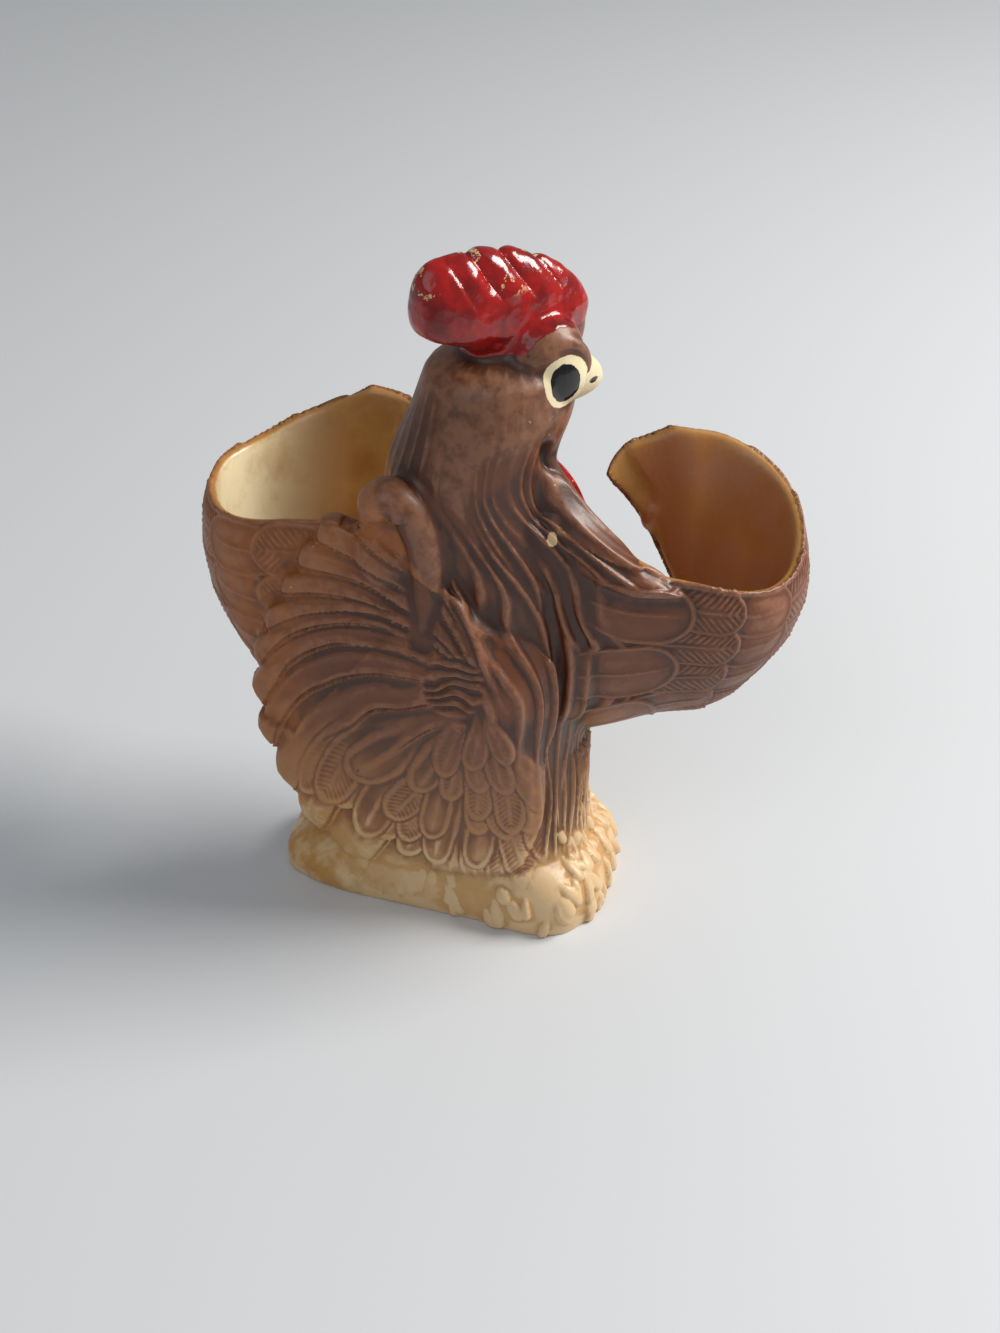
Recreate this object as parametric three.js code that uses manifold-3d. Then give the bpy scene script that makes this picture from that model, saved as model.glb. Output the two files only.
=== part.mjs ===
// A slip-cast ceramic rooster that holds a pair of shakers in its curled wings.
// Millimetres, +Z up. The bird faces -Y, its left side is +X, and it stands on Z = 0.
// It is one casting: skins of rings are worked out for its forms and joined into a solid.
import * as THREE from 'three';
import Module from 'manifold-3d';

const wasm = await Module();
wasm.setup();

// Overall and body sizes, in millimetres
const HEIGHT = 165;
const BODY_WIDTH = 46;
const NECK_WIDTH = 35;
const HEAD_WIDTH = 34;

// The straw mound under it
const BASE_LENGTH = 80;
const BASE_DEPTH = 46;
const BASE_RISE = 20;
const BASE_SHIFT = 13;

// The wings and the cups that they curl into
const CUP_BORE = 39;
const CUP_SPREAD = 89.5;
const CUP_TAPER = 13;
const WING_WALL = 4.2;
const WING_LINE = 9.5;
const WING_ROOT = 6;
const WING_BELLY = 3;
const WING_FLARE = 7;
const LEFT_LIFT = 6;
const LEFT_AHEAD = 3.5;
const LEFT_TIP_RISE = 9;

// The tail fan and its tall top feather
const TAIL_RADIUS = 52;
const TAIL_WALL = 9;
const TALL_WIDTH = 16;
const TALL_THICKNESS = 10;
const TALL_LENGTH = 36;

// Comb, eyes, beak and wattles
const COMB_LENGTH = 39;
const COMB_HEIGHT = 24;
const COMB_THICKNESS = 14;
const EYE_WIDTH = 10.8;
const EYE_HEIGHT = 12;
const BROW_THICKNESS = 4.6;
const BEAK_LENGTH = 9;
const BEAK_WIDTH = 10.8;
const BEAK_DEPTH = 13;
const WATTLE_LENGTH = 19;
const WATTLE_WIDTH = 7.2;

// Pose, in degrees
const HEAD_TURN = 50;
const EYE_PLACE = 71;
const EYE_LOOK = 84;
const FAN_TURN = 5;
const FAN_SWEEP = 36;
const HACKLE_SWING = 35;

// Carving
const HACKLE_COUNT = 20;
const HACKLE_DEPTH = 2;
const TAIL_FEATHERS = 16;
const TAIL_FEATHER_DEPTH = 2.4;
const COVERT_ROWS = 4;
const COVERT_LANES = 4;
const COVERT_STEP = 2;
const COMB_LOBES = 6;
const COMB_LOBE_DEPTH = 1.2;
const STRAW_DEPTH = 1.6;

const UP = new THREE.Vector3(0, 0, 1);
const radians = THREE.MathUtils.degToRad;
const lerp = THREE.MathUtils.lerp;
const step = THREE.MathUtils.smoothstep;
const clamp01 = (t) => Math.min(Math.max(t, 0), 1);
const smooth = (a, b, t) => (a < b ? step(t, a, b) : 1 - step(t, b, a));
const hump = (d, width) => Math.exp(-(d * d) / (width * width));
const power = (t, exponent) => Math.sign(t) * Math.abs(t) ** exponent;

// A value that runs smoothly through [place, value] knots
function through(knots, place) {
  const last = knots.length - 1;
  if (place <= knots[0][0]) return knots[0][1];
  if (place >= knots[last][0]) return knots[last][1];
  let i = 0;
  while (place > knots[i + 1][0]) i += 1;
  const slope = (k) => {
    const low = Math.max(k - 1, 0);
    const high = Math.min(k + 1, last);
    return (knots[high][1] - knots[low][1]) / (knots[high][0] - knots[low][0]);
  };
  const span = knots[i + 1][0] - knots[i][0];
  const t = (place - knots[i][0]) / span;
  const rise = t * t * (3 - 2 * t);
  const bend = span * t * (1 - t) * (slope(i) * (1 - t) - slope(i + 1) * t);
  return lerp(knots[i][1], knots[i + 1][1], rise) + bend;
}

// Points and faces as a solid, turned so that its faces look outward
function solid(spots, faces) {
  const six = faces.reduce((sum, [a, b, c]) => {
    const normal = new THREE.Vector3().crossVectors(spots[b], spots[c]);
    return sum + spots[a].dot(normal);
  }, 0);
  const outward = six > 0 ? faces : faces.map(([a, b, c]) => [a, c, b]);
  return new wasm.Manifold(new wasm.Mesh({
    numProp: 3,
    vertProperties: new Float32Array(spots.flatMap((p) => [p.x, p.y, p.z])),
    triVerts: new Uint32Array(outward.flat()),
  }));
}

// A closed skin: rings of points from u = 0 to 1, drawn together to a point at both ends
function skin(rings, sides, point) {
  const spots = [];
  for (let i = 1; i < rings; i += 1) {
    for (let j = 0; j < sides; j += 1) spots.push(point(i / rings, j / sides));
  }
  const start = spots.length;
  spots.push(point(0, 0), point(1, 0));
  const faces = [];
  for (let i = 0; i < rings - 2; i += 1) {
    for (let j = 0; j < sides; j += 1) {
      const a = i * sides + j;
      const b = i * sides + ((j + 1) % sides);
      faces.push([a, b, b + sides], [a, b + sides, a + sides]);
    }
  }
  const top = (rings - 2) * sides;
  for (let j = 0; j < sides; j += 1) {
    const k = (j + 1) % sides;
    faces.push([start, k, j], [start + 1, top + j, top + k]);
  }
  return solid(spots, faces);
}

// An egg-shaped lump with three half axes, used for the small plump forms
function lump(centre, axes, rings = 8, sides = 12) {
  return skin(rings, sides, (u, v) => {
    const climb = Math.PI * u;
    const round = 2 * Math.PI * v;
    return centre.clone()
      .addScaledVector(axes[0], Math.sin(climb) * Math.cos(round))
      .addScaledVector(axes[1], Math.sin(climb) * Math.sin(round))
      .addScaledVector(axes[2], -Math.cos(climb));
  });
}

// The way the bird looks when it has turned by an angle, and the way to its right
const forward = (turn) => new THREE.Vector3(-Math.sin(turn), -Math.cos(turn), 0);
const toRight = (turn) => new THREE.Vector3(-Math.cos(turn), Math.sin(turn), 0);

// Body, neck and head: ovals stacked up the spine, placed by shares of the height
const FOOT = 0.03;
const DOME = 0.83;
const CROWN = 0.885;
const HALF_WIDTH = [
  [0.03, 0.46 * BODY_WIDTH], [0.16, 0.43 * BODY_WIDTH], [0.28, 0.43 * BODY_WIDTH],
  [0.4, 0.48 * BODY_WIDTH], [0.5, 0.5 * BODY_WIDTH], [0.6, 0.46 * BODY_WIDTH],
  [0.67, 0.52 * NECK_WIDTH], [0.73, 0.48 * NECK_WIDTH], [0.79, 0.48 * HEAD_WIDTH],
  [0.85, 0.45 * HEAD_WIDTH], [0.885, 0.4 * HEAD_WIDTH],
];
const HALF_DEPTH = [
  [0.03, 0.44 * BODY_WIDTH], [0.16, 0.43 * BODY_WIDTH], [0.28, 0.46 * BODY_WIDTH],
  [0.4, 0.55 * BODY_WIDTH], [0.5, 0.55 * BODY_WIDTH], [0.6, 0.5 * BODY_WIDTH],
  [0.67, 0.54 * NECK_WIDTH], [0.73, 0.5 * NECK_WIDTH], [0.79, 0.52 * HEAD_WIDTH],
  [0.85, 0.49 * HEAD_WIDTH], [0.885, 0.44 * HEAD_WIDTH],
];
const LEAN_LEFT = [
  [0.03, -0.02], [0.3, 0], [0.55, 0.02], [0.63, 0.09], [0.68, 0.12], [0.72, 0.1], [0.79, 0.035],
  [0.885, 0],
];
const LEAN_FRONT = [[0.03, 0], [0.3, 0.065], [0.45, 0.15], [0.58, 0.1], [0.7, 0], [0.885, 0.01]];
const TURN = [[0.5, 0], [0.62, 0.3], [0.74, 0.85], [0.82, 1]];

function spine(share) {
  const dome = Math.sqrt(Math.max(1 - smooth(DOME, CROWN, share) ** 1.6, 0));
  return {
    across: through(HALF_WIDTH, share) * dome,
    along: through(HALF_DEPTH, share) * dome,
    turn: radians(HEAD_TURN) * through(TURN, share),
    centre: new THREE.Vector3(
      BODY_WIDTH * through(LEAN_LEFT, share),
      -BODY_WIDTH * through(LEAN_FRONT, share),
      HEIGHT * share,
    ),
  };
}

// Hackle feathers are ridges that run down the neck and swing towards the right wing
function trunkPoint(u, v) {
  const share = lerp(FOOT, CROWN, 1 - (1 - u) ** 1.3);
  const s = spine(share);
  const angle = radians(HACKLE_SWING) * smooth(0.3, 0.75, share) - 2 * Math.PI * v;
  const shown = smooth(0.86, 0.72, share) * smooth(0.14, 0.24, share);
  const ridge = (HACKLE_DEPTH / 2) * Math.cos(2 * Math.PI * v * HACKLE_COUNT) * shown;
  const open = u > 0 && u < 1 ? 1 : 0;
  return s.centre.clone()
    .addScaledVector(forward(s.turn), (s.along + ridge) * Math.cos(angle) * open)
    .addScaledVector(toRight(s.turn), (s.across + ridge) * Math.sin(angle) * open);
}

// A wing is a wall that leaves the back, runs straight out as far as the middle of the
// cup, and then curls round it, by degrees, to its tip before the breast. RIM and KEEL
// are its upper and lower edges, as shares of the height.
const ARM = 0.3;
const ARM_REACH = 0.92;
const BEHIND = 90;
const TIP_ANGLE = -152;
const CUP_LONG = 1.06;
const CUP_TOP = 0.655 * HEIGHT;
const RIM = [
  [-152, 0.645], [-142, 0.672], [-127, 0.674], [-112, 0.67], [-88, 0.66], [-56, 0.63], [-36, 0.607],
  [-14, 0.58], [3, 0.56], [30, 0.55], [52, 0.554], [90, 0.572], [125, 0.59], [150, 0.62], [180, 0.67],
];
const KEEL = [
  [-152, 0.58], [-140, 0.53], [-125, 0.46], [-112, 0.41], [-88, 0.39], [-56, 0.39], [-14, 0.405],
  [30, 0.385], [52, 0.365], [90, 0.337], [115, 0.315], [150, 0.275], [180, 0.25],
];

// Covert feathers: rows that overlap towards the wing's tip, each with rounded ends
function covert(along, up) {
  const bow = Math.abs(Math.sin(Math.PI * up * COVERT_LANES));
  const row = along * COVERT_ROWS + 0.3 * bow;
  const rise = row - Math.floor(row);
  return COVERT_STEP * (rise ** 1.5 - 0.5 + 0.5 * bow);
}

function wingPoint(side, lift, ahead, tipRise, taper) {
  const middle = new THREE.Vector2(CUP_SPREAD / 2 + ahead, WING_LINE - CUP_BORE / 2 - ahead);
  return (u, v) => {
    const onArm = clamp01(1 - u / ARM);
    const degrees = u < ARM ? BEHIND * (1 + onArm) : lerp(BEHIND, TIP_ANGLE, (u - ARM) / (1 - ARM));
    const near = smooth(-60, 10, degrees);
    const tip = tipRise * smooth(-80, TIP_ANGLE, degrees);
    const rim = HEIGHT * through(RIM, degrees) + lift * (1.5 * near - 0.5) + tip;
    const keel = HEIGHT * through(KEEL, degrees) - lift * near;
    const closing = Math.min(1, Math.sqrt(clamp01(u / 0.03)), Math.sqrt(clamp01((1 - u) / 0.1)));
    const round = 2 * Math.PI * v;
    const up = power(Math.sin(round), 0.7);
    const out = power(Math.cos(round), 0.5);
    const outside = Math.max(out, 0);
    const z = (rim + keel) / 2 + ((rim - keel) / 2) * closing * up;
    const flare = WING_FLARE * smooth(-105, TIP_ANGLE, degrees);
    const bore = CUP_BORE / 2 - Math.tan(radians(taper)) * (CUP_TOP - z) + flare;
    const root = WING_ROOT * smooth(0, 0.6, onArm) * smooth(1.05, 0.7, onArm) * (0.6 - 0.4 * up);
    const wall = WING_WALL * (0.8 + 0.2 * closing);
    const belly = WING_BELLY * (1 - up * up) * closing;
    const carve = covert(u, (up + 1) / 2) * closing;
    const r = bore + (wall / 2) * (1 + out * closing) + (root + belly + carve) * outside;
    const angle = radians(Math.min(degrees, BEHIND));
    return new THREE.Vector3(
      side * (middle.x * (1 - ARM_REACH * onArm) + CUP_LONG * r * Math.cos(angle)),
      middle.y + ahead * onArm + r * Math.sin(angle),
      z,
    );
  };
}

// The tail: long feathers that spread from the back to the bird's left. FAN_REACH is
// the outline, by degrees from straight up, as shares of the tail's radius.
const FAN_HEART = new THREE.Vector3(1, 0.35 * BODY_WIDTH, 0.42 * HEIGHT);
const FAN_FIRST = 12;
const FAN_LAST = 194;
const FAN_BUSY = 0.8;
const FAN_LEAN = 0.12;
const FAN_REACH = [
  [-180, 1.1], [-150, 0.6], [-120, 0.36], [-60, 0.3], [-12, 0.4], [8, 0.64], [18, 0.95],
  [38, 0.97], [55, 0.95], [70, 0.97], [85, 1.05], [100, 1.12], [115, 1.17], [130, 1.26], [140, 1.3],
  [155, 1.27], [180, 1.1],
];

// Degrees round the fan, with most of its columns on the feathers
function fanDegrees(v) {
  if (v < FAN_BUSY) return lerp(FAN_FIRST, FAN_LAST, v / FAN_BUSY);
  return lerp(FAN_LAST, FAN_FIRST + 360, (v - FAN_BUSY) / (1 - FAN_BUSY));
}

// How far a feather's root lies behind its tip, in degrees: the upper ones arch over
function fanArch(degrees) {
  const upper = degrees < 250 ? smooth(140, 85, degrees) : smooth(300, FAN_FIRST + 360, degrees);
  return FAN_SWEEP * upper;
}

function fanPoint(u, v) {
  const degrees = fanDegrees(v);
  const feathered = degrees <= FAN_LAST ? 1 : 0;
  const lane = ((degrees - FAN_FIRST) / (FAN_LAST - FAN_FIRST)) * TAIL_FEATHERS;
  const bow = Math.abs(Math.sin(Math.PI * lane));
  const outline = through(FAN_REACH, degrees > 180 ? degrees - 360 : degrees);
  const notched = feathered * smooth(165, 125, degrees);
  const reach = TAIL_RADIUS * outline * (1 + 0.07 * (bow - 0.7) * notched);
  const from = Math.sin(Math.PI * u) ** 0.6;
  const back = power(-Math.cos(Math.PI * u), 0.5);
  const r = reach * from;
  const angle = radians(degrees + FAN_TURN - fanArch(degrees) * (1 - from));
  const x = r * Math.sin(angle);
  const bulge = back > 0 ? 1 + 1.1 * hump(r, TAIL_RADIUS / 2) : 1;
  const deep = feathered * smooth(0.2, 0.6, from) * (1 - smooth(130, 150, degrees) * smooth(0.8, 0.95, from));
  const carved = back > 0 ? TAIL_FEATHER_DEPTH * deep : 0;
  return new THREE.Vector3(
    FAN_HEART.x + x,
    FAN_HEART.y - FAN_LEAN * Math.max(x, 0) + (TAIL_WALL / 2) * back * bulge
      + carved * (bow - 0.6) * Math.abs(back),
    FAN_HEART.z + r * Math.cos(angle),
  );
}

// The mound: flat below, long towards the tail, with a bulge behind the right foot.
// MOUND_REACH is its outline, by degrees from the bird's left.
const MOUND_MIDDLE = new THREE.Vector3(BASE_SHIFT, -1, 0);
const MOUND_FLOOR = 0.25;
const MOUND_REACH = [
  [0, 1], [26, 1.07], [45, 0.98], [73, 0.86], [103, 0.95], [118, 1.18], [127, 1.25], [138, 1.18],
  [166, 1], [197, 1.03], [225, 1.12], [250, 1], [270, 0.95], [300, 0.95], [330, 1.04], [360, 1],
];

function moundPoint(u, v) {
  const angle = 2 * Math.PI * v;
  const reach = through(MOUND_REACH, 360 * v);
  const t = clamp01((u - MOUND_FLOOR) / (1 - MOUND_FLOOR));
  const climb = (t * Math.PI) / 2;
  const wall = Math.cos(climb) ** 0.5 * (1 + 0.06 * Math.sin(2 * climb));
  const inward = u < MOUND_FLOOR ? u / MOUND_FLOOR : wall;
  const strand = Math.sin(7 * angle + 9 * t) * Math.sin(11 * angle - 5 * t) * smooth(0, 0.15, t);
  const rough = 1 + ((2 * STRAW_DEPTH) / BASE_LENGTH) * strand;
  const rise = BASE_RISE * (1 - 0.3 * smooth(-0.2, 0.9, Math.cos(angle)));
  return new THREE.Vector3(
    MOUND_MIDDLE.x + (BASE_LENGTH / 2) * reach * inward * rough * Math.cos(angle),
    MOUND_MIDDLE.y + (BASE_DEPTH / 2) * reach * inward * rough * Math.sin(angle),
    u < MOUND_FLOOR ? 0 : rise * Math.sin(climb),
  );
}

// The head's own directions and the level of its eyes
const headTurn = radians(HEAD_TURN);
const face = forward(headTurn);
const cheek = toRight(headTurn);
const head = spine(0.832);

// The comb: a plump crest that overhangs at the rear, with lobes across its top
const COMB_MIDDLE = HEIGHT - COMB_HEIGHT / 2 - 2.2;

function combPoint(u, v) {
  const turn = Math.PI * u;
  const s = -Math.cos(turn);
  const top = Math.sin(2 * Math.PI * v);
  const rear = smooth(0.3, -1, s);
  const width = Math.sin(turn) ** lerp(0.62, 0.4, rear);
  const lobe = COMB_LOBE_DEPTH * Math.abs(Math.sin(COMB_LOBES * turn)) * clamp01(top);
  const half = (COMB_HEIGHT / 2) * (top > 0 ? 1 : 1 - 0.35 * rear) + lobe;
  const lift = 3.4 * rear - 4.5 * smooth(0, 1, s);
  return new THREE.Vector3(0, 0, COMB_MIDDLE + lift)
    .addScaledVector(face, (COMB_LENGTH / 2) * (s - 0.04))
    .addScaledVector(cheek, (COMB_THICKNESS / 2) * Math.cos(2 * Math.PI * v) * width * (1 - 0.2 * top))
    .addScaledVector(UP, half * top * width);
}

// A short blunt beak that bends down
function beakPoint(u, v) {
  const round = 2 * Math.PI * v;
  const sunk = BEAK_WIDTH / 2;
  const thick = Math.sqrt(1 - u ** 1.6) * (u > 0 && u < 1 ? 1 : 0);
  return head.centre.clone()
    .addScaledVector(face, head.along - sunk + (BEAK_LENGTH + sunk) * u)
    .addScaledVector(cheek, (BEAK_WIDTH / 2) * thick * Math.cos(round))
    .addScaledVector(UP, (BEAK_DEPTH / 2) * (thick * Math.sin(round) - 0.45 - 0.5 * u * u));
}

// An eye set in the side of the head, with the brow that arches over it
function eye(side) {
  const at = side * radians(EYE_PLACE);
  const look = side * radians(EYE_LOOK);
  const way = face.clone().multiplyScalar(Math.cos(look)).addScaledVector(cheek, Math.sin(look));
  const across = new THREE.Vector3().crossVectors(UP, way);
  const place = head.centre.clone()
    .addScaledVector(face, head.along * Math.cos(at))
    .addScaledVector(cheek, head.across * Math.sin(at));
  const radius = EYE_WIDTH / 2;
  const ball = lump(place.clone().addScaledVector(way, -0.4 * radius), [
    across.clone().multiplyScalar(radius),
    UP.clone().multiplyScalar(EYE_HEIGHT / 2),
    way.clone().multiplyScalar(0.7 * radius),
  ]);
  const brow = skin(10, 8, (u, v) => {
    const bend = radians(lerp(-10, 190, u));
    const round = 2 * Math.PI * v;
    const half = (BROW_THICKNESS / 2) * Math.sin(Math.PI * u) ** 0.5;
    const out = radius + 0.15 * BROW_THICKNESS + half * Math.cos(round);
    return place.clone()
      .addScaledVector(across, out * Math.cos(bend))
      .addScaledVector(UP, out * Math.sin(bend) * (EYE_HEIGHT / EYE_WIDTH))
      .addScaledVector(way, half * Math.sin(round) - 0.5 * radius);
  });
  return ball.add(brow);
}

// A wattle that hangs under the beak, against the throat
function wattle(side) {
  const throat = spine(0.7);
  const half = WATTLE_WIDTH / 2;
  const place = throat.centre.clone()
    .addScaledVector(face, throat.along)
    .addScaledVector(cheek, 1.15 * half * side);
  return lump(place, [
    cheek.clone().multiplyScalar(half),
    face.clone().multiplyScalar(half),
    UP.clone().multiplyScalar(WATTLE_LENGTH / 2),
  ]);
}

// The tall feather that stands up at the top of the tail, beside the neck
function tallFeather() {
  const place = FAN_HEART.clone().add(new THREE.Vector3(0.3 * TAIL_RADIUS, 1, 0.2 * HEIGHT));
  return lump(place, [
    new THREE.Vector3(TALL_WIDTH / 2, 0, 0),
    new THREE.Vector3(0, TALL_THICKNESS / 2, 0),
    new THREE.Vector3(2, 0, TALL_LENGTH / 2),
  ]);
}

const casting = [
  skin(38, 2 * HACKLE_COUNT, trunkPoint),
  skin(32, 18, wingPoint(-1, 0, 0, 0, CUP_TAPER)),
  skin(32, 18, wingPoint(1, LEFT_LIFT, LEFT_AHEAD, LEFT_TIP_RISE, CUP_TAPER / 2)),
  skin(12, 60, fanPoint),
  skin(12, 40, moundPoint),
  skin(26, 16, combPoint),
  skin(8, 12, beakPoint),
  eye(1),
  eye(-1),
  wattle(1),
  wattle(-1),
  tallFeather(),
].reduce((sum, form) => sum.add(form));

const joined = casting.getMesh();
const geometry = new THREE.BufferGeometry();
geometry.setAttribute('position', new THREE.BufferAttribute(new Float32Array(joined.vertProperties), 3));
geometry.setIndex([...joined.triVerts]);

const glaze = new THREE.MeshStandardMaterial({ color: 0x7a4f35, roughness: 0.4, metalness: 0 });
const rooster = new THREE.Mesh(geometry, glaze);
rooster.name = 'rooster_holder';

const part = new THREE.Group();
part.add(rooster);

export default part;
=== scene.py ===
"""A glazed ceramic rooster whose curled wings hold a pair of shakers, in a plain studio.

The bird faces -Y, its left wing is on +X and it stands on Z = 0. Lengths are worked out in
millimetres and put into the meshes in metres.
"""

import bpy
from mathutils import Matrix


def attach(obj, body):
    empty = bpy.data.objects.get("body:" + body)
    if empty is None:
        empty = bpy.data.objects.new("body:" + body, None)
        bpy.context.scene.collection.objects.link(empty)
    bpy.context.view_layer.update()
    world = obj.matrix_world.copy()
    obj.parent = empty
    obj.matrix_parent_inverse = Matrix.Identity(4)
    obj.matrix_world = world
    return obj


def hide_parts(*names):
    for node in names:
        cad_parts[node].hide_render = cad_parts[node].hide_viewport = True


bl_info = {
    "name": "Rooster Shaker Holder",
    "version": (1, 0, 0),
    "blender": (4, 5, 0),
    "location": "3D View > Sidebar > Rooster",
    "description": "A slip-cast rooster with feather relief and worn paint, and a pale studio for it",
    "category": "Add Mesh",
}

from math import cos, pi, radians, sin, tan
from types import SimpleNamespace

import bpy
import numpy as np
from bpy.props import FloatProperty, FloatVectorProperty, IntProperty, PointerProperty
from mathutils import Vector

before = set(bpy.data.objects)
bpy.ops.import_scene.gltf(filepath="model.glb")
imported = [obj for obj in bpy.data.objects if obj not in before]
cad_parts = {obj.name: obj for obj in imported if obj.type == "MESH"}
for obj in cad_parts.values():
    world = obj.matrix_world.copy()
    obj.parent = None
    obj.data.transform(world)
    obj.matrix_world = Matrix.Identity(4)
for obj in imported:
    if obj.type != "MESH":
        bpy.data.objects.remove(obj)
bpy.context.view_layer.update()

MM = 0.001

# A distance that stands for "not near", in the radii of the face and of the tall feather

FAR = 9.0


# Settings

def length_property(name, description, default):
    """A length in metres."""
    return FloatProperty(name=name, description=description, default=default, unit="LENGTH")


def angle_property(name, description, degrees):
    """An angle whose default is given in degrees."""
    return FloatProperty(name=name, description=description, default=radians(degrees), subtype="ANGLE")


def colour_property(name, description, default):
    """A linear colour."""
    return FloatVectorProperty(
        name=name, description=description, default=default, subtype="COLOR", min=0, max=1
    )


class RoosterSizes(bpy.types.PropertyGroup):
    """Lengths and angles of the casting"""

    height: length_property("Height", "From the table to the top of the comb", 0.165)
    body_width: length_property("Body Width", "Across the body below the neck", 0.046)
    neck_width: length_property("Neck Width", "Across the narrowest neck", 0.035)
    head_width: length_property("Head Width", "Across the cheeks", 0.034)
    base_length: length_property("Mound Length", "Length of the mound, from wing to wing", 0.08)
    base_depth: length_property("Mound Depth", "Depth of the mound, from breast to tail", 0.046)
    base_rise: length_property("Mound Rise", "How far the mound climbs up the body", 0.02)
    base_shift: length_property("Mound Shift", "How far the mound lies to the bird's left", 0.013)
    cup_bore: length_property("Cup Bore", "Width inside a cup at its rim", 0.039)
    cup_spread: length_property("Cup Spread", "From the middle of one cup to the other", 0.0895)
    cup_taper: angle_property("Cup Taper", "Slope of a cup's wall", 13)
    wing_wall: length_property("Wing Wall", "Thickness of a wing at its rim", 0.0042)
    wing_line: length_property("Wing Line", "How far behind the middle the wings leave the back", 0.0095)
    wing_root: length_property("Wing Root", "Extra thickness where a wing leaves the back", 0.006)
    wing_belly: length_property("Wing Belly", "Swell of a wing's outside at half its height", 0.003)
    wing_flare: length_property("Wing Flare", "How far a wing's tip opens outwards", 0.007)
    left_lift: length_property("Left Lift", "Extra height of the left wing's band", 0.006)
    left_ahead: length_property("Left Ahead", "How far ahead the left cup stands", 0.0035)
    left_tip_rise: length_property("Left Tip Rise", "Rise of the left wing towards its tip", 0.009)
    tail_radius: length_property("Tail Radius", "Reach of the tail fan", 0.052)
    tail_wall: length_property("Tail Wall", "Thickness of the tail fan", 0.009)
    tall_thickness: length_property(
        "Tall Feather Thickness", "Thickness of the feather beside the neck", 0.01,
    )
    comb_length: length_property("Comb Length", "Length of the comb", 0.039)
    comb_height: length_property("Comb Height", "Height of the comb", 0.024)
    comb_thickness: length_property("Comb Thickness", "Thickness of the comb", 0.014)
    eye_width: length_property("Eye Width", "Width of an eye", 0.0108)
    eye_height: length_property("Eye Height", "Height of an eye", 0.012)
    brow_thickness: length_property("Brow Thickness", "Thickness of the fold over an eye", 0.0046)
    beak_length: length_property("Beak Length", "How far the beak stands out", 0.009)
    beak_width: length_property("Beak Width", "Width of the beak", 0.0108)
    beak_depth: length_property("Beak Depth", "Height of the beak", 0.013)
    wattle_length: length_property("Wattle Length", "Length of a wattle", 0.019)
    wattle_width: length_property("Wattle Width", "Width of a wattle", 0.0072)
    head_turn: angle_property("Head Turn", "How far the head looks to its right", 50)
    eye_place: angle_property("Eye Place", "Where an eye sits, round the head from the beak", 67)
    eye_look: angle_property("Eye Look", "Which way an eye looks, round the head from the beak", 93)


class RoosterCarving(bpy.types.PropertyGroup):
    """The feather relief"""

    grain: length_property("Grain", "Size of the cells in which the forms are fused", 0.00045)
    faces: IntProperty(
        name="Faces", description="Most triangles that the casting keeps", default=196000, min=20000,
        max=199000,
    )
    tail_lanes: IntProperty(name="Tail Feathers", description="Feathers round the fan", default=16, min=6)
    tail_arch: angle_property("Tail Arch", "How far the upper tail feathers arch over", 36)
    feather_arch: angle_property("Feather Arch", "How far the carved tail feathers arch over at most", 70)
    tail_turn: angle_property("Tail Turn", "Turn of the whole fan", 5)
    tail_depth: length_property("Tail Depth", "Depth of the tail's carving", 0.0013)
    hackle_depth: length_property("Hackle Depth", "Depth of the neck's carving", 0.0012)
    covert_depth: length_property("Covert Depth", "Depth of the wings' carving", 0.0009)
    strands: IntProperty(name="Strands", description="Hackles round the neck", default=23, min=8)
    straw_depth: length_property("Straw Depth", "Depth of the mound's straw", 0.0011)
    comb_lobes: IntProperty(name="Comb Lobes", description="Lobes along the comb", default=6, min=3)
    seed: IntProperty(name="Seed", description="Seed of the strewn straw and small feathers", default=11)


class RoosterPaint(bpy.types.PropertyGroup):
    """Colours of the underglaze paint"""

    brown: colour_property("Brown", "Sprayed brown of the feathers", (0.165, 0.045, 0.012))
    # Umber in the grooves is painted shade laid over brown that pools there
    umber: colour_property("Umber", "Brown that gathers in the grooves", (0.036, 0.010, 0.0038))
    # Tan on the crests is thin paint and also a painted sheen
    tan: colour_property("Tan", "Thin paint along raised edges", (0.43, 0.195, 0.10))
    # Amber on the tail's edge and the left wing is amber spray and also a painted warm reflection
    amber: colour_property("Amber", "Warm spray on the tail's edge and in the cups", (0.34, 0.10, 0.012))
    # Honey on the cup rims is thin spray and a painted glow; in the straw's hollows it is painted shade
    honey: colour_property(
        "Honey", "Thin warm spray in the left cup and on the mound", (0.50, 0.25, 0.055),
    )
    cream: colour_property("Cream", "Bare glaze over the pale clay", (0.68, 0.47, 0.25))
    # Eye White also paints the light that falls inside the left cup
    white: colour_property("Eye White", "Eye rings and beak", (0.78, 0.66, 0.42))
    red: colour_property("Red", "Comb and wattles", (0.36, 0.007, 0.005))
    dark_red: colour_property("Dark Red", "Red where it lies thick", (0.10, 0.004, 0.004))
    black: colour_property("Black", "Pupils and nostrils", (0.006, 0.006, 0.007))


class RoosterStudio(bpy.types.PropertyGroup):
    """Floor, lights and camera"""

    floor: colour_property("Floor", "Colour of the floor", (0.68, 0.70, 0.72))
    lens: FloatProperty(name="Lens", description="Focal length", default=48.6, unit="CAMERA")
    azimuth: angle_property("Azimuth", "Round the bird from its breast", 190)
    elevation: angle_property("Elevation", "How far the camera looks down", 36)
    distance: length_property("Distance", "Camera to the body's axis, over the floor", 0.335)
    camera_height: length_property("Camera Height", "Camera above the floor", 0.305)
    key: FloatProperty(
        name="Key Light", description="Window light from the right", default=16.0, unit="POWER"
    )
    fill: FloatProperty(name="Fill Light", description="Soft light from above", default=3.0, unit="POWER")


def plain(group):
    """The group's values by name, with lengths in millimetres."""
    values = {}
    for name, prop in group.bl_rna.properties.items():
        if name not in {"rna_type", "name"}:
            value = getattr(group, name)
            values[name] = value / MM if getattr(prop, "unit", "NONE") == "LENGTH" else value
    return SimpleNamespace(**values)


# Curves and small sums on whole arrays

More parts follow.
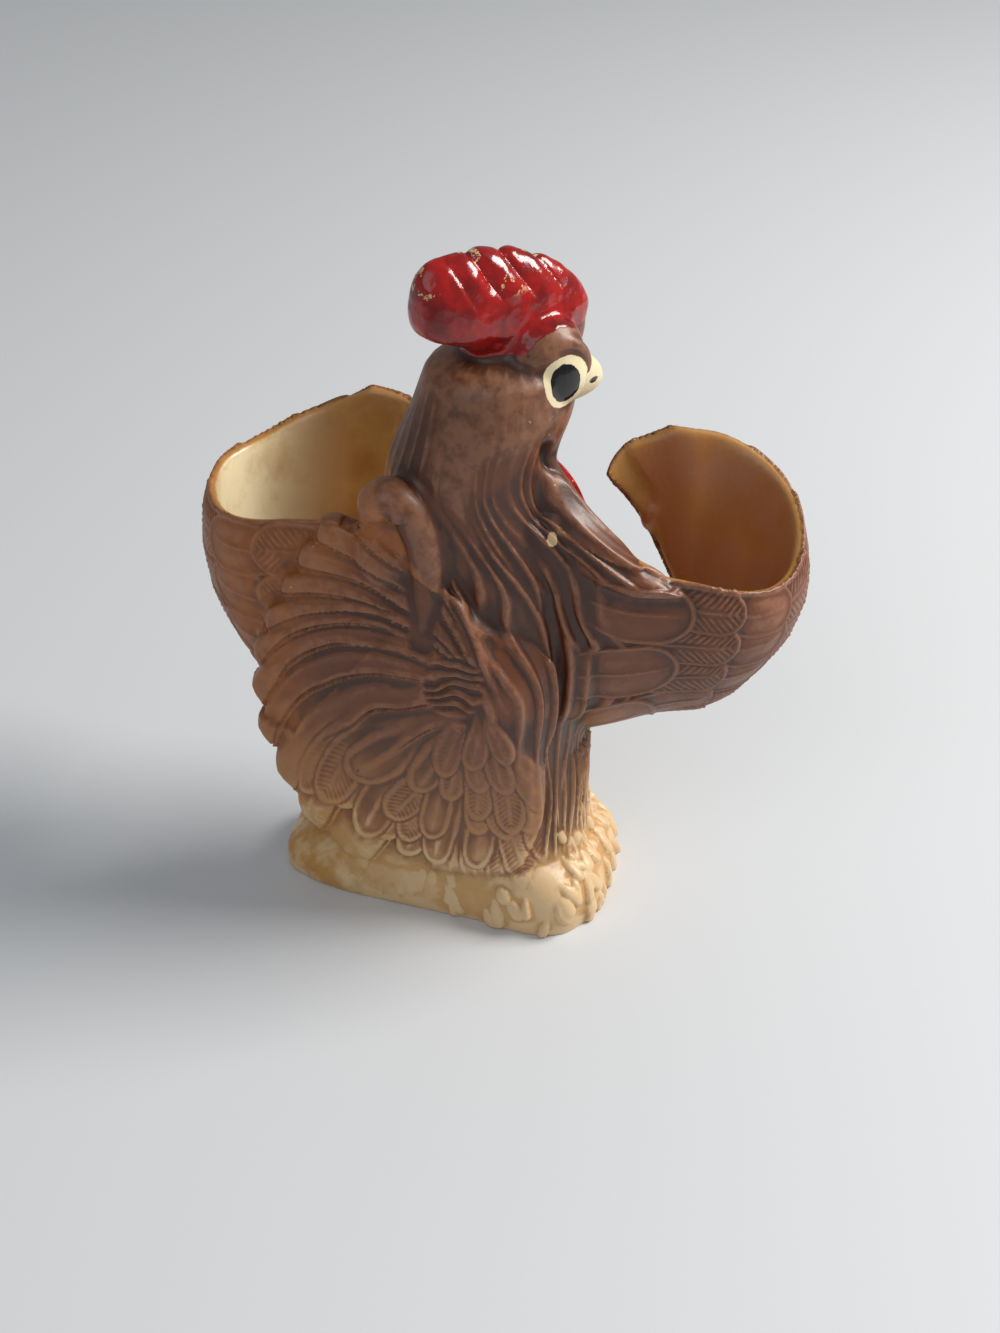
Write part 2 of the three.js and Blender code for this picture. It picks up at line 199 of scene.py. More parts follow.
def smooth(a, b, t):
    """0 at a and 1 at b with level ends: the cubic 3s^2 - 2s^3 of the share s; b may lie below a."""
    s = np.clip((np.asarray(t, dtype=float) - a) / (b - a), 0, 1)
    return s * s * (3 - 2 * s)


def hump(d, width):
    """A bell of height 1 over d = 0."""
    return np.exp(-((d / width) ** 2))


def power(t, exponent):
    """t to a power, with its sign kept."""
    return np.sign(t) * np.abs(t) ** exponent


def through(knots, place):
    """A smooth curve through (place, value) knots: between two of them a cubic whose slopes come from
    the knots beside them, and past the ends the end values."""
    x, y = np.array(knots, dtype=float).T
    last = len(x) - 1
    near = np.arange(last + 1)
    low, high = np.maximum(near - 1, 0), np.minimum(near + 1, last)
    slope = (y[high] - y[low]) / (x[high] - x[low])
    p = np.clip(place, x[0], x[-1])
    i = np.clip(np.searchsorted(x, p) - 1, 0, last - 1)
    span = x[i + 1] - x[i]
    t = (p - x[i]) / span
    rise = t * t * (3 - 2 * t)
    bend = span * t * (1 - t) * (slope[i] * (1 - t) - slope[i + 1] * t)
    return y[i] + (y[i + 1] - y[i]) * rise + bend


def through_rows(table, place):
    """Smooth curves through the columns of a table: the first column holds the places of the knots."""
    start, *columns = np.array(table).T
    return [through(np.stack([start, column], axis=1), place) for column in columns]


def drift(x, y, seed):
    """Smooth random values from -1 to 1: a lattice of random numbers, blended by cubic steps."""
    table = np.random.default_rng(seed).uniform(-1, 1, (64, 64))
    i, j = np.floor(x).astype(int), np.floor(y).astype(int)
    s, t = smooth(0, 1, x - i), smooth(0, 1, y - j)
    low = table[i % 64, j % 64] * (1 - s) + table[(i + 1) % 64, j % 64] * s
    high = table[i % 64, (j + 1) % 64] * (1 - s) + table[(i + 1) % 64, (j + 1) % 64] * s
    return low * (1 - t) + high * t


def spots(x, y, z):
    """Points from three arrays that are spread to one shape."""
    return np.stack(np.broadcast_arrays(x, y, z), axis=-1).astype(float)


# Closed skins

def skin(rings, sides, point):
    """A closed skin: point(u, v) is worked out on the whole grid, u from end to end and v round the
    form, and the rings are drawn together to a point at both ends. Triangles look outwards."""
    u = (np.arange(1, rings) / rings)[:, None]
    v = (np.arange(sides) / sides)[None, :]
    body = np.broadcast_to(point(u, v), (rings - 1, sides, 3)).reshape(-1, 3)
    ends = point(np.array([[0.0], [1.0]]), np.zeros((1, 1))).reshape(-1, 3)
    places = np.concatenate([body, ends])
    across = np.arange(sides)
    after = (across + 1) % sides
    ring = np.arange(rings - 2)[:, None] * sides
    a, b = (ring + across).ravel(), (ring + after).ravel()
    start, top = len(body), (rings - 2) * sides
    faces = np.concatenate([
        np.stack([a, b, b + sides], axis=1),
        np.stack([a, b + sides, a + sides], axis=1),
        np.stack([np.full(sides, start), after, across], axis=1),
        np.stack([np.full(sides, start + 1), top + across, top + after], axis=1),
    ])
    corner = places[faces]
    volume = np.einsum("ij,ij->", corner[:, 0], np.cross(corner[:, 1], corner[:, 2]))
    return places, faces if volume > 0 else faces[:, ::-1]


def lump(centre, axes, rings=20, sides=32):
    """An egg-shaped skin: the centre plus its three half axes by the sines and cosines of two angles."""
    first, second, third = (np.array(axis, dtype=float) for axis in axes)

    def point(u, v):
        climb, turn = pi * u[..., None], 2 * pi * v[..., None]
        return (
            centre + np.sin(climb) * np.cos(turn) * first + np.sin(climb) * np.sin(turn) * second
            - np.cos(climb) * third
        )

    return skin(rings, sides, point)


UP = np.array([0.0, 0.0, 1.0])


def forward(turn):
    """The way the bird looks when it has turned to its right by an angle."""
    return np.stack([-np.sin(turn), -np.cos(turn), 0 * turn], axis=-1)


def to_right(turn):
    """The way to the bird's right when it has turned by an angle."""
    return np.stack([-np.cos(turn), np.sin(turn), 0 * turn], axis=-1)


# Body, neck and head: ovals stacked up the spine, placed by shares of the height

FOOT, DOME, CROWN = 0.03, 0.83, 0.885
BODY_SHARES = ((0.03, 0.46, 0.44), (0.16, 0.43, 0.43), (0.28, 0.43, 0.46), (0.4, 0.48, 0.55),
               (0.5, 0.5, 0.55), (0.6, 0.46, 0.5))
NECK_SHARES = ((0.67, 0.54, 0.56), (0.73, 0.51, 0.53))
HEAD_SHARES = ((0.79, 0.49, 0.53), (0.85, 0.43, 0.47), (0.885, 0.34, 0.4))
LEAN_LEFT = ((0.03, -0.02), (0.3, 0), (0.55, 0.03), (0.63, 0.12), (0.68, 0.155), (0.72, 0.14),
             (0.79, 0.05), (0.885, 0))
LEAN_FRONT = ((0.03, 0), (0.3, 0.065), (0.45, 0.15), (0.58, 0.1), (0.7, 0), (0.885, 0.01))
TURN = ((0.5, 0), (0.62, 0.3), (0.74, 0.85), (0.82, 1))


def spine(k, share):
    """Half axes, turn and middle of the oval at a share of the height."""
    share = np.asarray(share, dtype=float)
    rows = [(s, k.body_width * a, k.body_width * b) for s, a, b in BODY_SHARES]
    rows += [(s, k.neck_width * a, k.neck_width * b) for s, a, b in NECK_SHARES]
    rows += [(s, k.head_width * a, k.head_width * b) for s, a, b in HEAD_SHARES]
    dome = np.sqrt(np.maximum(1 - smooth(DOME, CROWN, share) ** 1.6, 0))
    return SimpleNamespace(
        across=through([(s, a) for s, a, b in rows], share) * dome,
        along=through([(s, b) for s, a, b in rows], share) * dome,
        turn=k.head_turn * through(TURN, share),
        centre=spots(
            k.body_width * through(LEAN_LEFT, share),
            -k.body_width * through(LEAN_FRONT, share),
            k.height * share,
        ),
    )


def trunk_skin(k):
    """Ovals up the spine: each ring is its middle plus half depth and half width by cosine and sine."""
    def point(u, v):
        s = spine(k, FOOT + (CROWN - FOOT) * (1 - (1 - u) ** 1.3))
        angle = -2 * pi * v
        shown = np.where((u > 0) & (u < 1), 1.0, 0.0)
        return (
            s.centre
            + forward(s.turn) * (s.along * np.cos(angle) * shown)[..., None]
            + to_right(s.turn) * (s.across * np.sin(angle) * shown)[..., None]
        )
    return skin(110, 128, point)


# Wings: a wall leaves the back, runs straight out to the middle of the cup, and curls round it by
# degrees to its tip before the breast. RIM and KEEL are its edges, as shares of the height. ARM and
# the roundings are shares of the wing's length.

ARM, ARM_REACH, BEHIND, TIP = 0.3, 0.92, 90, -152
ROOT_ROUNDING, TIP_ROUNDING = 0.03, 0.1
CUP_LONG, CUP_TOP = 1.06, 0.655
RIM = ((-152, 0.645), (-142, 0.672), (-127, 0.674), (-112, 0.67), (-88, 0.66), (-56, 0.63), (-36, 0.607),
       (-14, 0.58), (3, 0.56), (30, 0.55), (52, 0.554), (90, 0.572), (125, 0.59), (150, 0.62), (180, 0.67))
KEEL = ((-152, 0.58), (-140, 0.53), (-125, 0.46), (-112, 0.41), (-88, 0.39), (-56, 0.39), (-14, 0.405),
        (30, 0.385), (52, 0.365), (90, 0.337), (115, 0.315), (150, 0.275), (180, 0.25))


def wing(k, side):
    """What sets one wing off from the other, and the middle of its cup."""
    left = side > 0
    ahead = k.left_ahead if left else 0.0
    return SimpleNamespace(
        side=side,
        lift=k.left_lift if left else 0.0,
        ahead=ahead,
        rise=k.left_tip_rise if left else 0.0,
        slope=tan(k.cup_taper / 2 if left else k.cup_taper),
        x=k.cup_spread / 2 + ahead,
        y=k.wing_line - k.cup_bore / 2 - ahead,
    )


def wing_edges(k, w, degrees):
    """Heights of the wing's upper and lower edge round the cup."""
    near = smooth(-60, 10, degrees)
    tip = w.rise * smooth(-80, TIP, degrees)
    rim = k.height * through(RIM, degrees) + w.lift * (1.5 * near - 0.5) + tip
    keel = k.height * through(KEEL, degrees) - w.lift * near
    return rim, keel


def wing_bore(k, w, degrees, z):
    """The cup's inner radius: it narrows downwards and opens at the wing's tip."""
    flare = k.wing_flare * smooth(-105, TIP, degrees)
    return k.cup_bore / 2 - w.slope * (CUP_TOP * k.height - z) + flare


def wing_skin(k, side):
    """Rounded wall sections carried along the arm and round the cup, thicker at the root and belly."""
    w = wing(k, side)

    def point(u, v):
        on_arm = np.clip(1 - u / ARM, 0, 1)
        round_cup = BEHIND + (TIP - BEHIND) * (u - ARM) / (1 - ARM)
        degrees = np.where(u < ARM, BEHIND * (1 + on_arm), round_cup)
        rim, keel = wing_edges(k, w, degrees)
        closing = np.sqrt(np.clip(np.minimum(u / ROOT_ROUNDING, (1 - u) / TIP_ROUNDING), 0, 1))
        up = power(np.sin(2 * pi * v), 0.7)
        out = power(np.cos(2 * pi * v), 0.5)
        z = (rim + keel) / 2 + (rim - keel) / 2 * closing * up
        root = k.wing_root * smooth(0, 0.6, on_arm) * smooth(1.05, 0.7, on_arm) * (0.6 - 0.4 * up)
        belly = k.wing_belly * (1 - up * up) * closing
        wall = k.wing_wall * (0.8 + 0.2 * closing)
        r = wing_bore(k, w, degrees, z) + wall / 2 * (1 + out * closing)
        r = r + (root + belly) * np.maximum(out, 0)
        angle = np.radians(np.minimum(degrees, BEHIND))
        return spots(
            side * (w.x * (1 - ARM_REACH * on_arm) + CUP_LONG * r * np.cos(angle)),
            w.y + w.ahead * on_arm + r * np.sin(angle),
            z,
        )

    return skin(200, 72, point)


# Tail fan: FAN_REACH is its outline, by degrees from straight up, as shares of its radius

FAN_FIRST, FAN_LAST, FAN_LEAN = 12, 194, 0.12
FAN_REACH = ((-180, 1.1), (-165, 0.74), (-150, 0.46), (-120, 0.34), (-60, 0.3), (-12, 0.36), (8, 0.45),
             (18, 0.6), (27, 0.76), (38, 0.95), (55, 0.95), (70, 0.97), (85, 1.05), (100, 1.12),
             (115, 1.17), (130, 1.26), (140, 1.3), (155, 1.27), (180, 1.1))
FAN_NOTCH = 0.045


def fan_heart(k):
    """The point that the tail feathers spread from."""
    return np.array([1.0, 0.35 * k.body_width, 0.42 * k.height])


def fan_arch(c, degrees):
    """How far a feather's root lies behind its tip, in degrees: only the upper ones arch over."""
    upper = np.where(degrees < 250, smooth(140, 85, degrees), smooth(300, FAN_FIRST + 360, degrees))
    return np.degrees(c.tail_arch) * upper


def fan_outline(k, c, degrees):
    """The fan's reach round its heart, notched between the feathers."""
    lane = (degrees - FAN_FIRST) / (FAN_LAST - FAN_FIRST) * c.tail_lanes
    notched = np.where(degrees <= FAN_LAST, smooth(165, 125, degrees), 0)
    bow = np.abs(np.sin(pi * lane))
    outline = through(FAN_REACH, np.where(degrees > 180, degrees - 360, degrees))
    return k.tail_radius * outline * (1 + FAN_NOTCH * (bow - 0.7) * notched)


def fan_skin(k, c):
    """A lens by angle round the heart: it leans forward to the left and swells behind the heart."""
    heart = fan_heart(k)

    def point(u, v):
        degrees = FAN_FIRST + 360 * v
        from_heart = np.sin(pi * u) ** 0.6
        r = fan_outline(k, c, degrees) * from_heart
        angle = np.radians(degrees + np.degrees(c.tail_turn) - fan_arch(c, degrees) * (1 - from_heart))
        back = power(-np.cos(pi * u), 0.5 + 1.5 * smooth(192, 212, degrees) * smooth(372, 352, degrees))
        bulge = np.where(back > 0, 1 + 1.1 * hump(r, k.tail_radius / 2), 1)
        x = r * np.sin(angle)
        return spots(
            heart[0] + x,
            heart[1] - FAN_LEAN * np.maximum(x, 0) + k.tail_wall / 2 * back * bulge,
            heart[2] + r * np.cos(angle),
        )

    return skin(70, 300, point)


# Mound: MOUND_REACH is its outline, by degrees from the bird's left

MOUND_FLOOR = 0.25
MOUND_REACH = ((0, 1), (26, 1.07), (45, 0.98), (73, 0.86), (103, 0.95), (118, 1.18), (127, 1.25),
               (138, 1.18), (166, 1), (197, 1.03), (225, 1.12), (250, 1), (270, 0.95), (300, 0.95),
               (330, 1.04), (360, 1))


def mound_skin(k):
    """A flat floor and a rounded wall round the outline, lower towards the tail's side."""
    def point(u, v):
        angle = 2 * pi * v
        reach = through(MOUND_REACH, 360 * v)
        climb = np.clip((u - MOUND_FLOOR) / (1 - MOUND_FLOOR), 0, 1) * pi / 2
        wall = np.maximum(np.cos(climb), 0) ** 0.5 * (1 + 0.06 * np.sin(2 * climb))
        inward = np.where(u < MOUND_FLOOR, u / MOUND_FLOOR, wall)
        rise = k.base_rise * (1 - 0.3 * smooth(-0.2, 0.9, np.cos(angle)))
        return spots(
            k.base_shift + k.base_length / 2 * reach * inward * np.cos(angle),
            -1 + k.base_depth / 2 * reach * inward * np.sin(angle),
            np.where(u < MOUND_FLOOR, 0, rise * np.sin(climb)),
        )
    return skin(60, 200, point)


# Face: the levels of the eyes and the throat are shares of the height, the eye's offsets millimetres.
# The comb's shift to the rear is a share of half its length; the wattle's half height and its lean to
# the front are shares of its length

EYE_LEVEL, THROAT_LEVEL = 0.832, 0.7
EYE_RAISED, EYE_AHEAD = 0.9, 1.1
COMB_BACK = 0.04
WATTLE_HALF, WATTLE_LEAN = 0.6, 0.26


def head(k):
    """The head's own directions, with its middle and half axes at the level of the eyes."""
    s = spine(k, EYE_LEVEL)
    turn = np.array(k.head_turn)
    return SimpleNamespace(
        face=forward(turn),
        cheek=to_right(turn),
        centre=s.centre,
        across=float(s.across),
        along=float(s.along),
    )


def comb_skin(k):
    """A plump oval crest, raised a little along its top; it overhangs at the rear."""
    h = head(k)
    middle = k.height - k.comb_height / 2 - 2.2

    def point(u, v):
        turn = pi * u
        s = -np.cos(turn)
        top = np.sin(2 * pi * v)
        rear = smooth(0.3, -1, s)
        width = np.sin(turn) ** (0.62 - 0.22 * rear)
        lobe = 0.6 * np.clip(top, 0, 1)
        half = k.comb_height / 2 * np.where(top > 0, 1, 1 - 0.35 * rear) + lobe
        lift = 3.4 * rear - 4.5 * smooth(0, 1, s)
        plump = power(np.cos(2 * pi * v), 1 - 0.45 * np.clip(-top, 0, 1))
        side = k.comb_thickness / 2 * plump * width * (1 - 0.2 * top)
        return (
            UP * (middle + lift + half * top * width)[..., None]
            + h.face * (k.comb_length / 2 * (s - COMB_BACK))[..., None] + h.cheek * side[..., None]
        )

    return skin(90, 64, point)


def beak_skin(k):
    """A blunt cone that bends down."""
    h = head(k)
    sunk = k.beak_width / 2

    def point(u, v):
        thick = np.sqrt(1 - np.clip(u, 0, 1) ** 2.2) * np.where((u > 0) & (u < 1), 1.0, 0.0)
        return (
            h.centre
            + h.face * (h.along - sunk + (k.beak_length + sunk) * u)[..., None]
            + h.cheek * (k.beak_width / 2 * thick * np.cos(2 * pi * v))[..., None]
            + UP * (k.beak_depth / 2 * (1.1 * thick * np.sin(2 * pi * v) - 0.8 - 0.35 * u * u))[..., None]
        )

    return skin(30, 40, point)


def eye_frame(k, side):
    """Middle of an eye, and the ways out of it and across it."""
    h = head(k)
    at, look = side * k.eye_place, side * k.eye_look
    way = h.face * cos(look) + h.cheek * sin(look)
    on_head = h.centre + h.face * h.along * cos(at) + h.cheek * h.across * sin(at)
    return SimpleNamespace(
        place=on_head + UP * EYE_RAISED + h.face * EYE_AHEAD,
        way=way,
        across=np.cross(UP, way) * -side,
    )


def eye_skins(k, side):
    """A shallow oval eye and the fold that arches over it."""
    e = eye_frame(k, side)
    radius = k.eye_width / 2
    ball = lump(
        e.place - e.way * 0.35 * radius,
        (e.across * 1.08 * radius, UP * 0.52 * k.eye_height, e.way * 0.52 * radius), 30, 40,
    )
    mass = lump(
        e.place + UP * 0.42 * k.eye_height - e.way * 1.2 * radius + e.across * 0.3 * radius,
        (e.across * 1.6 * radius, UP * 0.55 * k.eye_height, e.way * 1.15 * radius), 30, 40,
    )

    def point(u, v):
        bend = np.radians(-10 + 200 * u)
        turn = 2 * pi * v
        half = k.brow_thickness / 2 * np.sin(pi * np.clip(u, 0, 1)) ** 0.5
        out = radius + 0.2 * k.brow_thickness + half * np.cos(turn)
        return (
            e.place
            + e.across * (out * np.cos(bend))[..., None]
            + UP * (out * np.sin(bend) * k.eye_height / k.eye_width)[..., None]
            + e.way * (half * np.sin(turn) - 0.5 * radius)[..., None]
        )

    return [ball, mass, skin(36, 24, point)]


def wattle_place(k, h, throat, side):
    """The middle of a wattle, low on the throat."""
    half = k.wattle_width / 2
    drop = UP * 0.58 * k.wattle_length
    return throat.centre + h.face * (throat.along + 0.25 * half) + h.cheek * 2.2 * half * side - drop


def wattle_skin(k, side):
    """A long drop against the throat."""
    h = head(k)
    throat = spine(k, THROAT_LEVEL)
    half = k.wattle_width / 2
    place = wattle_place(k, h, throat, side)
    lean = UP * k.wattle_length * WATTLE_HALF - h.face * WATTLE_LEAN * k.wattle_length
    return lump(place, (h.cheek * half, h.face * half, lean))


# The feather beside the neck: each row of TALL_COURSE is a share of its length, then its place to the
# left of the fan's heart, its height over it and its radius, as shares of the fan's radius. TALL_BACK
# is how far the cord's middle lies behind the heart, as a share of its thickness, and TALL_DEPTH its
# depth over its width

TALL_BACK, TALL_DEPTH = 0.15, 1.1
TALL_COURSE = ((0, 0.246, 0.2, 0.075), (0.12, 0.24, 0.33, 0.074), (0.25, 0.238, 0.43, 0.077),
               (0.42, 0.243, 0.594, 0.084), (0.56, 0.268, 0.729, 0.088), (0.68, 0.31, 0.822, 0.09),
               (0.78, 0.367, 0.87, 0.09), (0.88, 0.425, 0.857, 0.088), (0.95, 0.468, 0.8, 0.08),
               (1, 0.5, 0.73, 0.06))


def tall_course(k, t):
    """Middle of the tall feather's cord across and up, and its radius, at a share of its length."""
    heart = fan_heart(k)
    across, up, radius = (k.tail_radius * values for values in through_rows(TALL_COURSE, t))
    return heart[0] + across, heart[2] + up, radius


def tall_web(k):
    """Middle of the web inside the cord, and its reach each way."""
    place = fan_heart(k) + np.array([0.4 * k.tail_radius, 0, 0.62 * k.tail_radius])
    return place, np.array([0.15 * k.tail_radius, 0.42 * k.tall_thickness, 0.22 * k.tail_radius])


def tall_feather_skins(k):
    """The feather beside the neck: a cord that climbs and hooks over to the left, the web inside it
    and the knob at its foot."""
    heart = fan_heart(k)

    def point(u, v):
        t, angle = np.clip(u, 0, 1), 2 * pi * v
        x, z, r = tall_course(k, t)
        before, after = tall_course(k, np.clip(t - 0.01, 0, 1)), tall_course(k, np.clip(t + 0.01, 0, 1))
        dx, dz = after[0] - before[0], after[1] - before[1]
        size = np.hypot(dx, dz)
        r = r * np.sqrt(np.clip(np.minimum(t, 1 - t) / 0.08, 0, 1))
        return spots(
            x + r * np.cos(angle) * dz / size,
            heart[1] + TALL_BACK * k.tall_thickness - TALL_DEPTH * r * np.sin(angle),
            z - r * np.cos(angle) * dx / size,
        )

    place, reach = tall_web(k)
    web_axes = (reach[0], 0, 0.1 * reach[0]), (0, reach[1], 0), (-0.1 * reach[2], 0, reach[2])
    knob = heart + np.array([0.23 * k.tail_radius, 0.2 * k.tall_thickness, 0.26 * k.tail_radius])
    knob_axes = np.diag([0.07 * k.tail_radius, 0.34 * k.tall_thickness, 0.08 * k.tail_radius])
    return [skin(70, 32, point), lump(place, web_axes, 40, 40), lump(knob, knob_axes)]


def tall_gap(k, p):
    """How far points lie from the tall feather's cord, in shares of its thickness: 1 is its surface."""
    gap = np.full(len(p), FAR)
    near = np.flatnonzero(np.abs(p - tall_web(k)[0]).max(axis=1) < 0.62 * k.tail_radius)
    middle = fan_heart(k)[1] + TALL_BACK * k.tall_thickness
    for t in np.linspace(0.03, 0.97, 48):
        x, z, r = tall_course(k, t)
        q = (p[near] - np.array([x, middle, z])) / np.array([r, TALL_DEPTH * r, r])
        gap[near] = np.minimum(gap[near], np.sqrt((q ** 2).sum(axis=1)))
    return gap


# The fold from the ear to the right wing: each row of SHOULDER is a share of its length, then its
# place to the left, to the rear and up, and its radius; up is a share of the height, the others of the
# body's width

SHOULDER = ((0, -0.15, 0.08, 0.73, 0.08), (0.3, -0.27, 0.1, 0.66, 0.12), (0.55, -0.43, 0.17, 0.607, 0.135),
            (0.8, -0.66, 0.22, 0.576, 0.1), (1, -0.88, 0.24, 0.56, 0.06))


def shoulder_skin(k):
    """The fold that runs from the ear down the neck into the right wing's rim: a bent tube."""
    def point(u, v):
        t, angle = np.clip(u, 0, 1), 2 * pi * v
        left, rear, up, girth = through_rows(SHOULDER, t)
        closing = np.sqrt(np.clip(np.minimum(t / 0.1, (1 - t) / 0.15), 0, 1))
        r = k.body_width * girth * closing
        return spots(
            k.body_width * left - r * np.sin(angle) * 0.7,
            k.body_width * rear + r * np.cos(angle),
            k.height * up + r * np.sin(angle) * 0.7,
        )

    return skin(40, 32, point)


def hollow_skins(k):
    """Two lumps that fill the hollows between the fold, the neck and the root of the wing."""
    upper = np.array([-0.24 * k.body_width, 0.16 * k.body_width, 0.6 * k.height])
    lower = np.array([-0.35 * k.body_width, 0.205 * k.body_width, 0.44 * k.height])
    upper_axes = (0.14 * k.body_width, 0, 0), (0, 0.12 * k.body_width, 0), (-2, 0, 0.075 * k.height)
    lower_axes = np.diag([0.16 * k.body_width, 0.1 * k.body_width, 0.11 * k.height])
    return [lump(upper, upper_axes), lump(lower, lower_axes)]


# Meshes and arrays

def mesh_from(name, places, faces):
    """A mesh in metres from points in millimetres and equal-sided faces."""
    mesh = bpy.data.meshes.new(name)
    mesh.vertices.add(len(places))
    mesh.vertices.foreach_set("co", (places * MM).astype(np.float32).ravel())
    mesh.loops.add(faces.size)
    mesh.loops.foreach_set("vertex_index", np.ascontiguousarray(faces, dtype=np.int32).ravel())
    mesh.polygons.add(len(faces))
    mesh.polygons.foreach_set("loop_start", np.arange(len(faces), dtype=np.int32) * faces.shape[1])
    mesh.update(calc_edges=True)
    return mesh


def arrays_from(mesh):
    """Points in millimetres, faces and edges of a mesh whose faces all have the same sides."""
    places = np.empty(len(mesh.vertices) * 3, dtype=np.float32)
    mesh.vertices.foreach_get("co", places)
    corners = np.empty(len(mesh.loops), dtype=np.int32)
    mesh.loops.foreach_get("vertex_index", corners)
    edges = np.empty(len(mesh.edges) * 2, dtype=np.int32)
    mesh.edges.foreach_get("vertices", edges)
    sides = len(corners) // len(mesh.polygons)
    return places.reshape(-1, 3).astype(float) / MM, corners.reshape(-1, sides), edges.reshape(-1, 2)


def modified(name, mesh, kind, **values):
    """The mesh as one modifier leaves it."""
    holder = bpy.data.objects.new(name, mesh)
    bpy.context.collection.objects.link(holder)
    modifier = holder.modifiers.new(name, kind)
    for key, value in values.items():
        setattr(modifier, key, value)
    seen = holder.evaluated_get(bpy.context.evaluated_depsgraph_get())
    result = bpy.data.meshes.new_from_object(seen)
    bpy.data.objects.remove(holder)
    bpy.data.meshes.remove(mesh)
    return result


class Sheet:
    """Sums over the neighbours on one mesh."""

    def __init__(self, count, faces, edges):
        self.count, self.faces = count, faces
        self.a = np.concatenate([edges[:, 0], edges[:, 1]])
        self.b = np.concatenate([edges[:, 1], edges[:, 0]])
        self.degree = np.maximum(np.bincount(self.a, minlength=count), 1)

    def mean(self, values):
        """For each point, the mean of a value over its neighbours."""
        if values.ndim == 1:
            return np.bincount(self.a, values[self.b], self.count) / self.degree
        return np.stack([self.mean(values[:, i]) for i in range(values.shape[1])], axis=1)

    def normals(self, places):
        """Outward unit normals: the sum of each point's face normals by area."""
        first, middle, last = self.faces[:, 0], self.faces[:, self.faces.shape[1] // 2], self.faces[:, -1]
        if self.faces.shape[1] == 4:
            normal = np.cross(places[middle] - places[first], places[last] - places[self.faces[:, 1]])
        else:
            normal = np.cross(places[middle] - places[first], places[last] - places[first])
        total = np.stack([
            sum(np.bincount(self.faces[:, s], normal[:, i], self.count) for s in range(self.faces.shape[1]))
            for i in range(3)
        ], axis=1)
        return total / np.maximum(np.linalg.norm(total, axis=1, keepdims=True), 1e-9)


# How often the creases are eased

SETTLE_ROUNDS = 70


def settle(sheet, places, rounds):
    """Fills the creases between forms: a point moves towards its neighbours' mean, far where the mean
    lies outside the surface and hardly at all on ridges and rims."""
    for _ in range(2):
        places = places + 0.5 * (sheet.mean(places) - places)
    for turn in range(rounds):
        if turn % 4 == 0:
            normal = sheet.normals(places)
        pull = sheet.mean(places) - places
        hollow = smooth(0.006, 0.05, np.einsum("ij,ij->i", pull, normal))
        places = places + pull * (0.7 * hollow)[:, None]
    return places


# Relief: feathers laid one over the other, each by its own length and width

class Relief:
    """Height of the carving, and where its raised lines run."""

    def __init__(self, count):
        self.height = np.zeros(count)
        self.line = np.zeros(count)
        self.inset = np.zeros(count)

    def lay(self, where, along, across, length, half, style):
        """Lays one feather: along and across are millimetres from its root and from its quill. It is a
        leaf with a round tip; the tip stands proud, and rim, quill and barbs are raised lines."""
        near = (along > 0) & (along < length) & (np.abs(across) < half)
        where, along, across = where[near], along[near], across[near]
        if len(where) == 0:
            return
        t = along / length
        width = half * (style.root + (1 - style.root) * smooth(0, style.widest, t))
        round_part = np.minimum(length * 0.5, half * style.tip)
        beyond = np.clip((along - (length - round_part)) / round_part, 0, 1)
        rho = np.sqrt((across / width) ** 2 + beyond ** 2)
        edge = (1 - rho) * width
        rim = hump(edge - style.soft - style.line, style.line)
        quill = hump(across, 0.9 * style.line) * smooth(0.93, 0.75, t) * smooth(0.02, 0.2, t)
        wave = 0.5 + 0.5 * np.cos(2 * pi * (along - 0.9 * np.abs(across)) / style.pitch)
        barbs = wave * smooth(0.1, 0.3, rho) * smooth(0.95, 0.7, rho)
        barbs = barbs * smooth(style.barbs_from, style.barbs_from + 0.1, t)
        height = (
            style.step * t + style.dome * (1 - rho ** 2) + style.rim * rim + style.quill * quill
            + style.barb * barbs
        )
        cover = smooth(0, style.soft, edge) * smooth(0, style.fade, t)
        self.height[where] += (height - self.height[where]) * cover
        marks = np.maximum(rim, 0.7 * quill)
        self.line[where] += (marks - self.line[where]) * cover


def style(**changes):
    """A feather's section, in millimetres, apart from the shares root, widest, tip, fade and barbs_from."""
    values = dict(
        step=0.5, dome=0.3, rim=0.3, quill=0.25, barb=0.0, pitch=1.6, line=0.38, soft=0.35, root=0.5,
        widest=0.5, tip=1.0, fade=0.2, barbs_from=0.1,
    )
    values.update(changes)
    return SimpleNamespace(**values)


# Where the coverts lie: the band's radius round the cup, how far it reaches past the wing's edges, and
# where it starts beside the back, in millimetres

BAND_RADIUS, BAND_MARGIN, BAND_START = 24, 2.5, 13


def on_wing(k, w, p):
    """Each point's place on a wing: degrees round the cup, millimetres along it, and its radius."""
    x, y, z = w.side * p[:, 0], p[:, 1], p[:, 2]
    arm = (x < w.x) & (y > w.y)
    on_arm = np.clip((1 - x / w.x) / ARM_REACH, 0, 1)
    dx, dy = (x - w.x) / CUP_LONG, y - w.y
    degrees = np.where(arm, BEHIND * (1 + on_arm), np.degrees(np.arctan2(dy, dx)))
    r = np.where(arm, y - w.y - w.ahead * on_arm, np.hypot(dx, dy))
    along = np.where(arm, x, w.x + np.radians(BEHIND - degrees) * BAND_RADIUS)
    rim, keel = wing_edges(k, w, degrees)
    middle = wing_bore(k, w, degrees, z) + k.wing_wall / 2
    band = (z > keel - BAND_MARGIN) & (z < rim + BAND_MARGIN) & (x > BAND_START)
    return SimpleNamespace(degrees=degrees, along=along, off=r - middle, rim=rim, keel=keel, band=band)


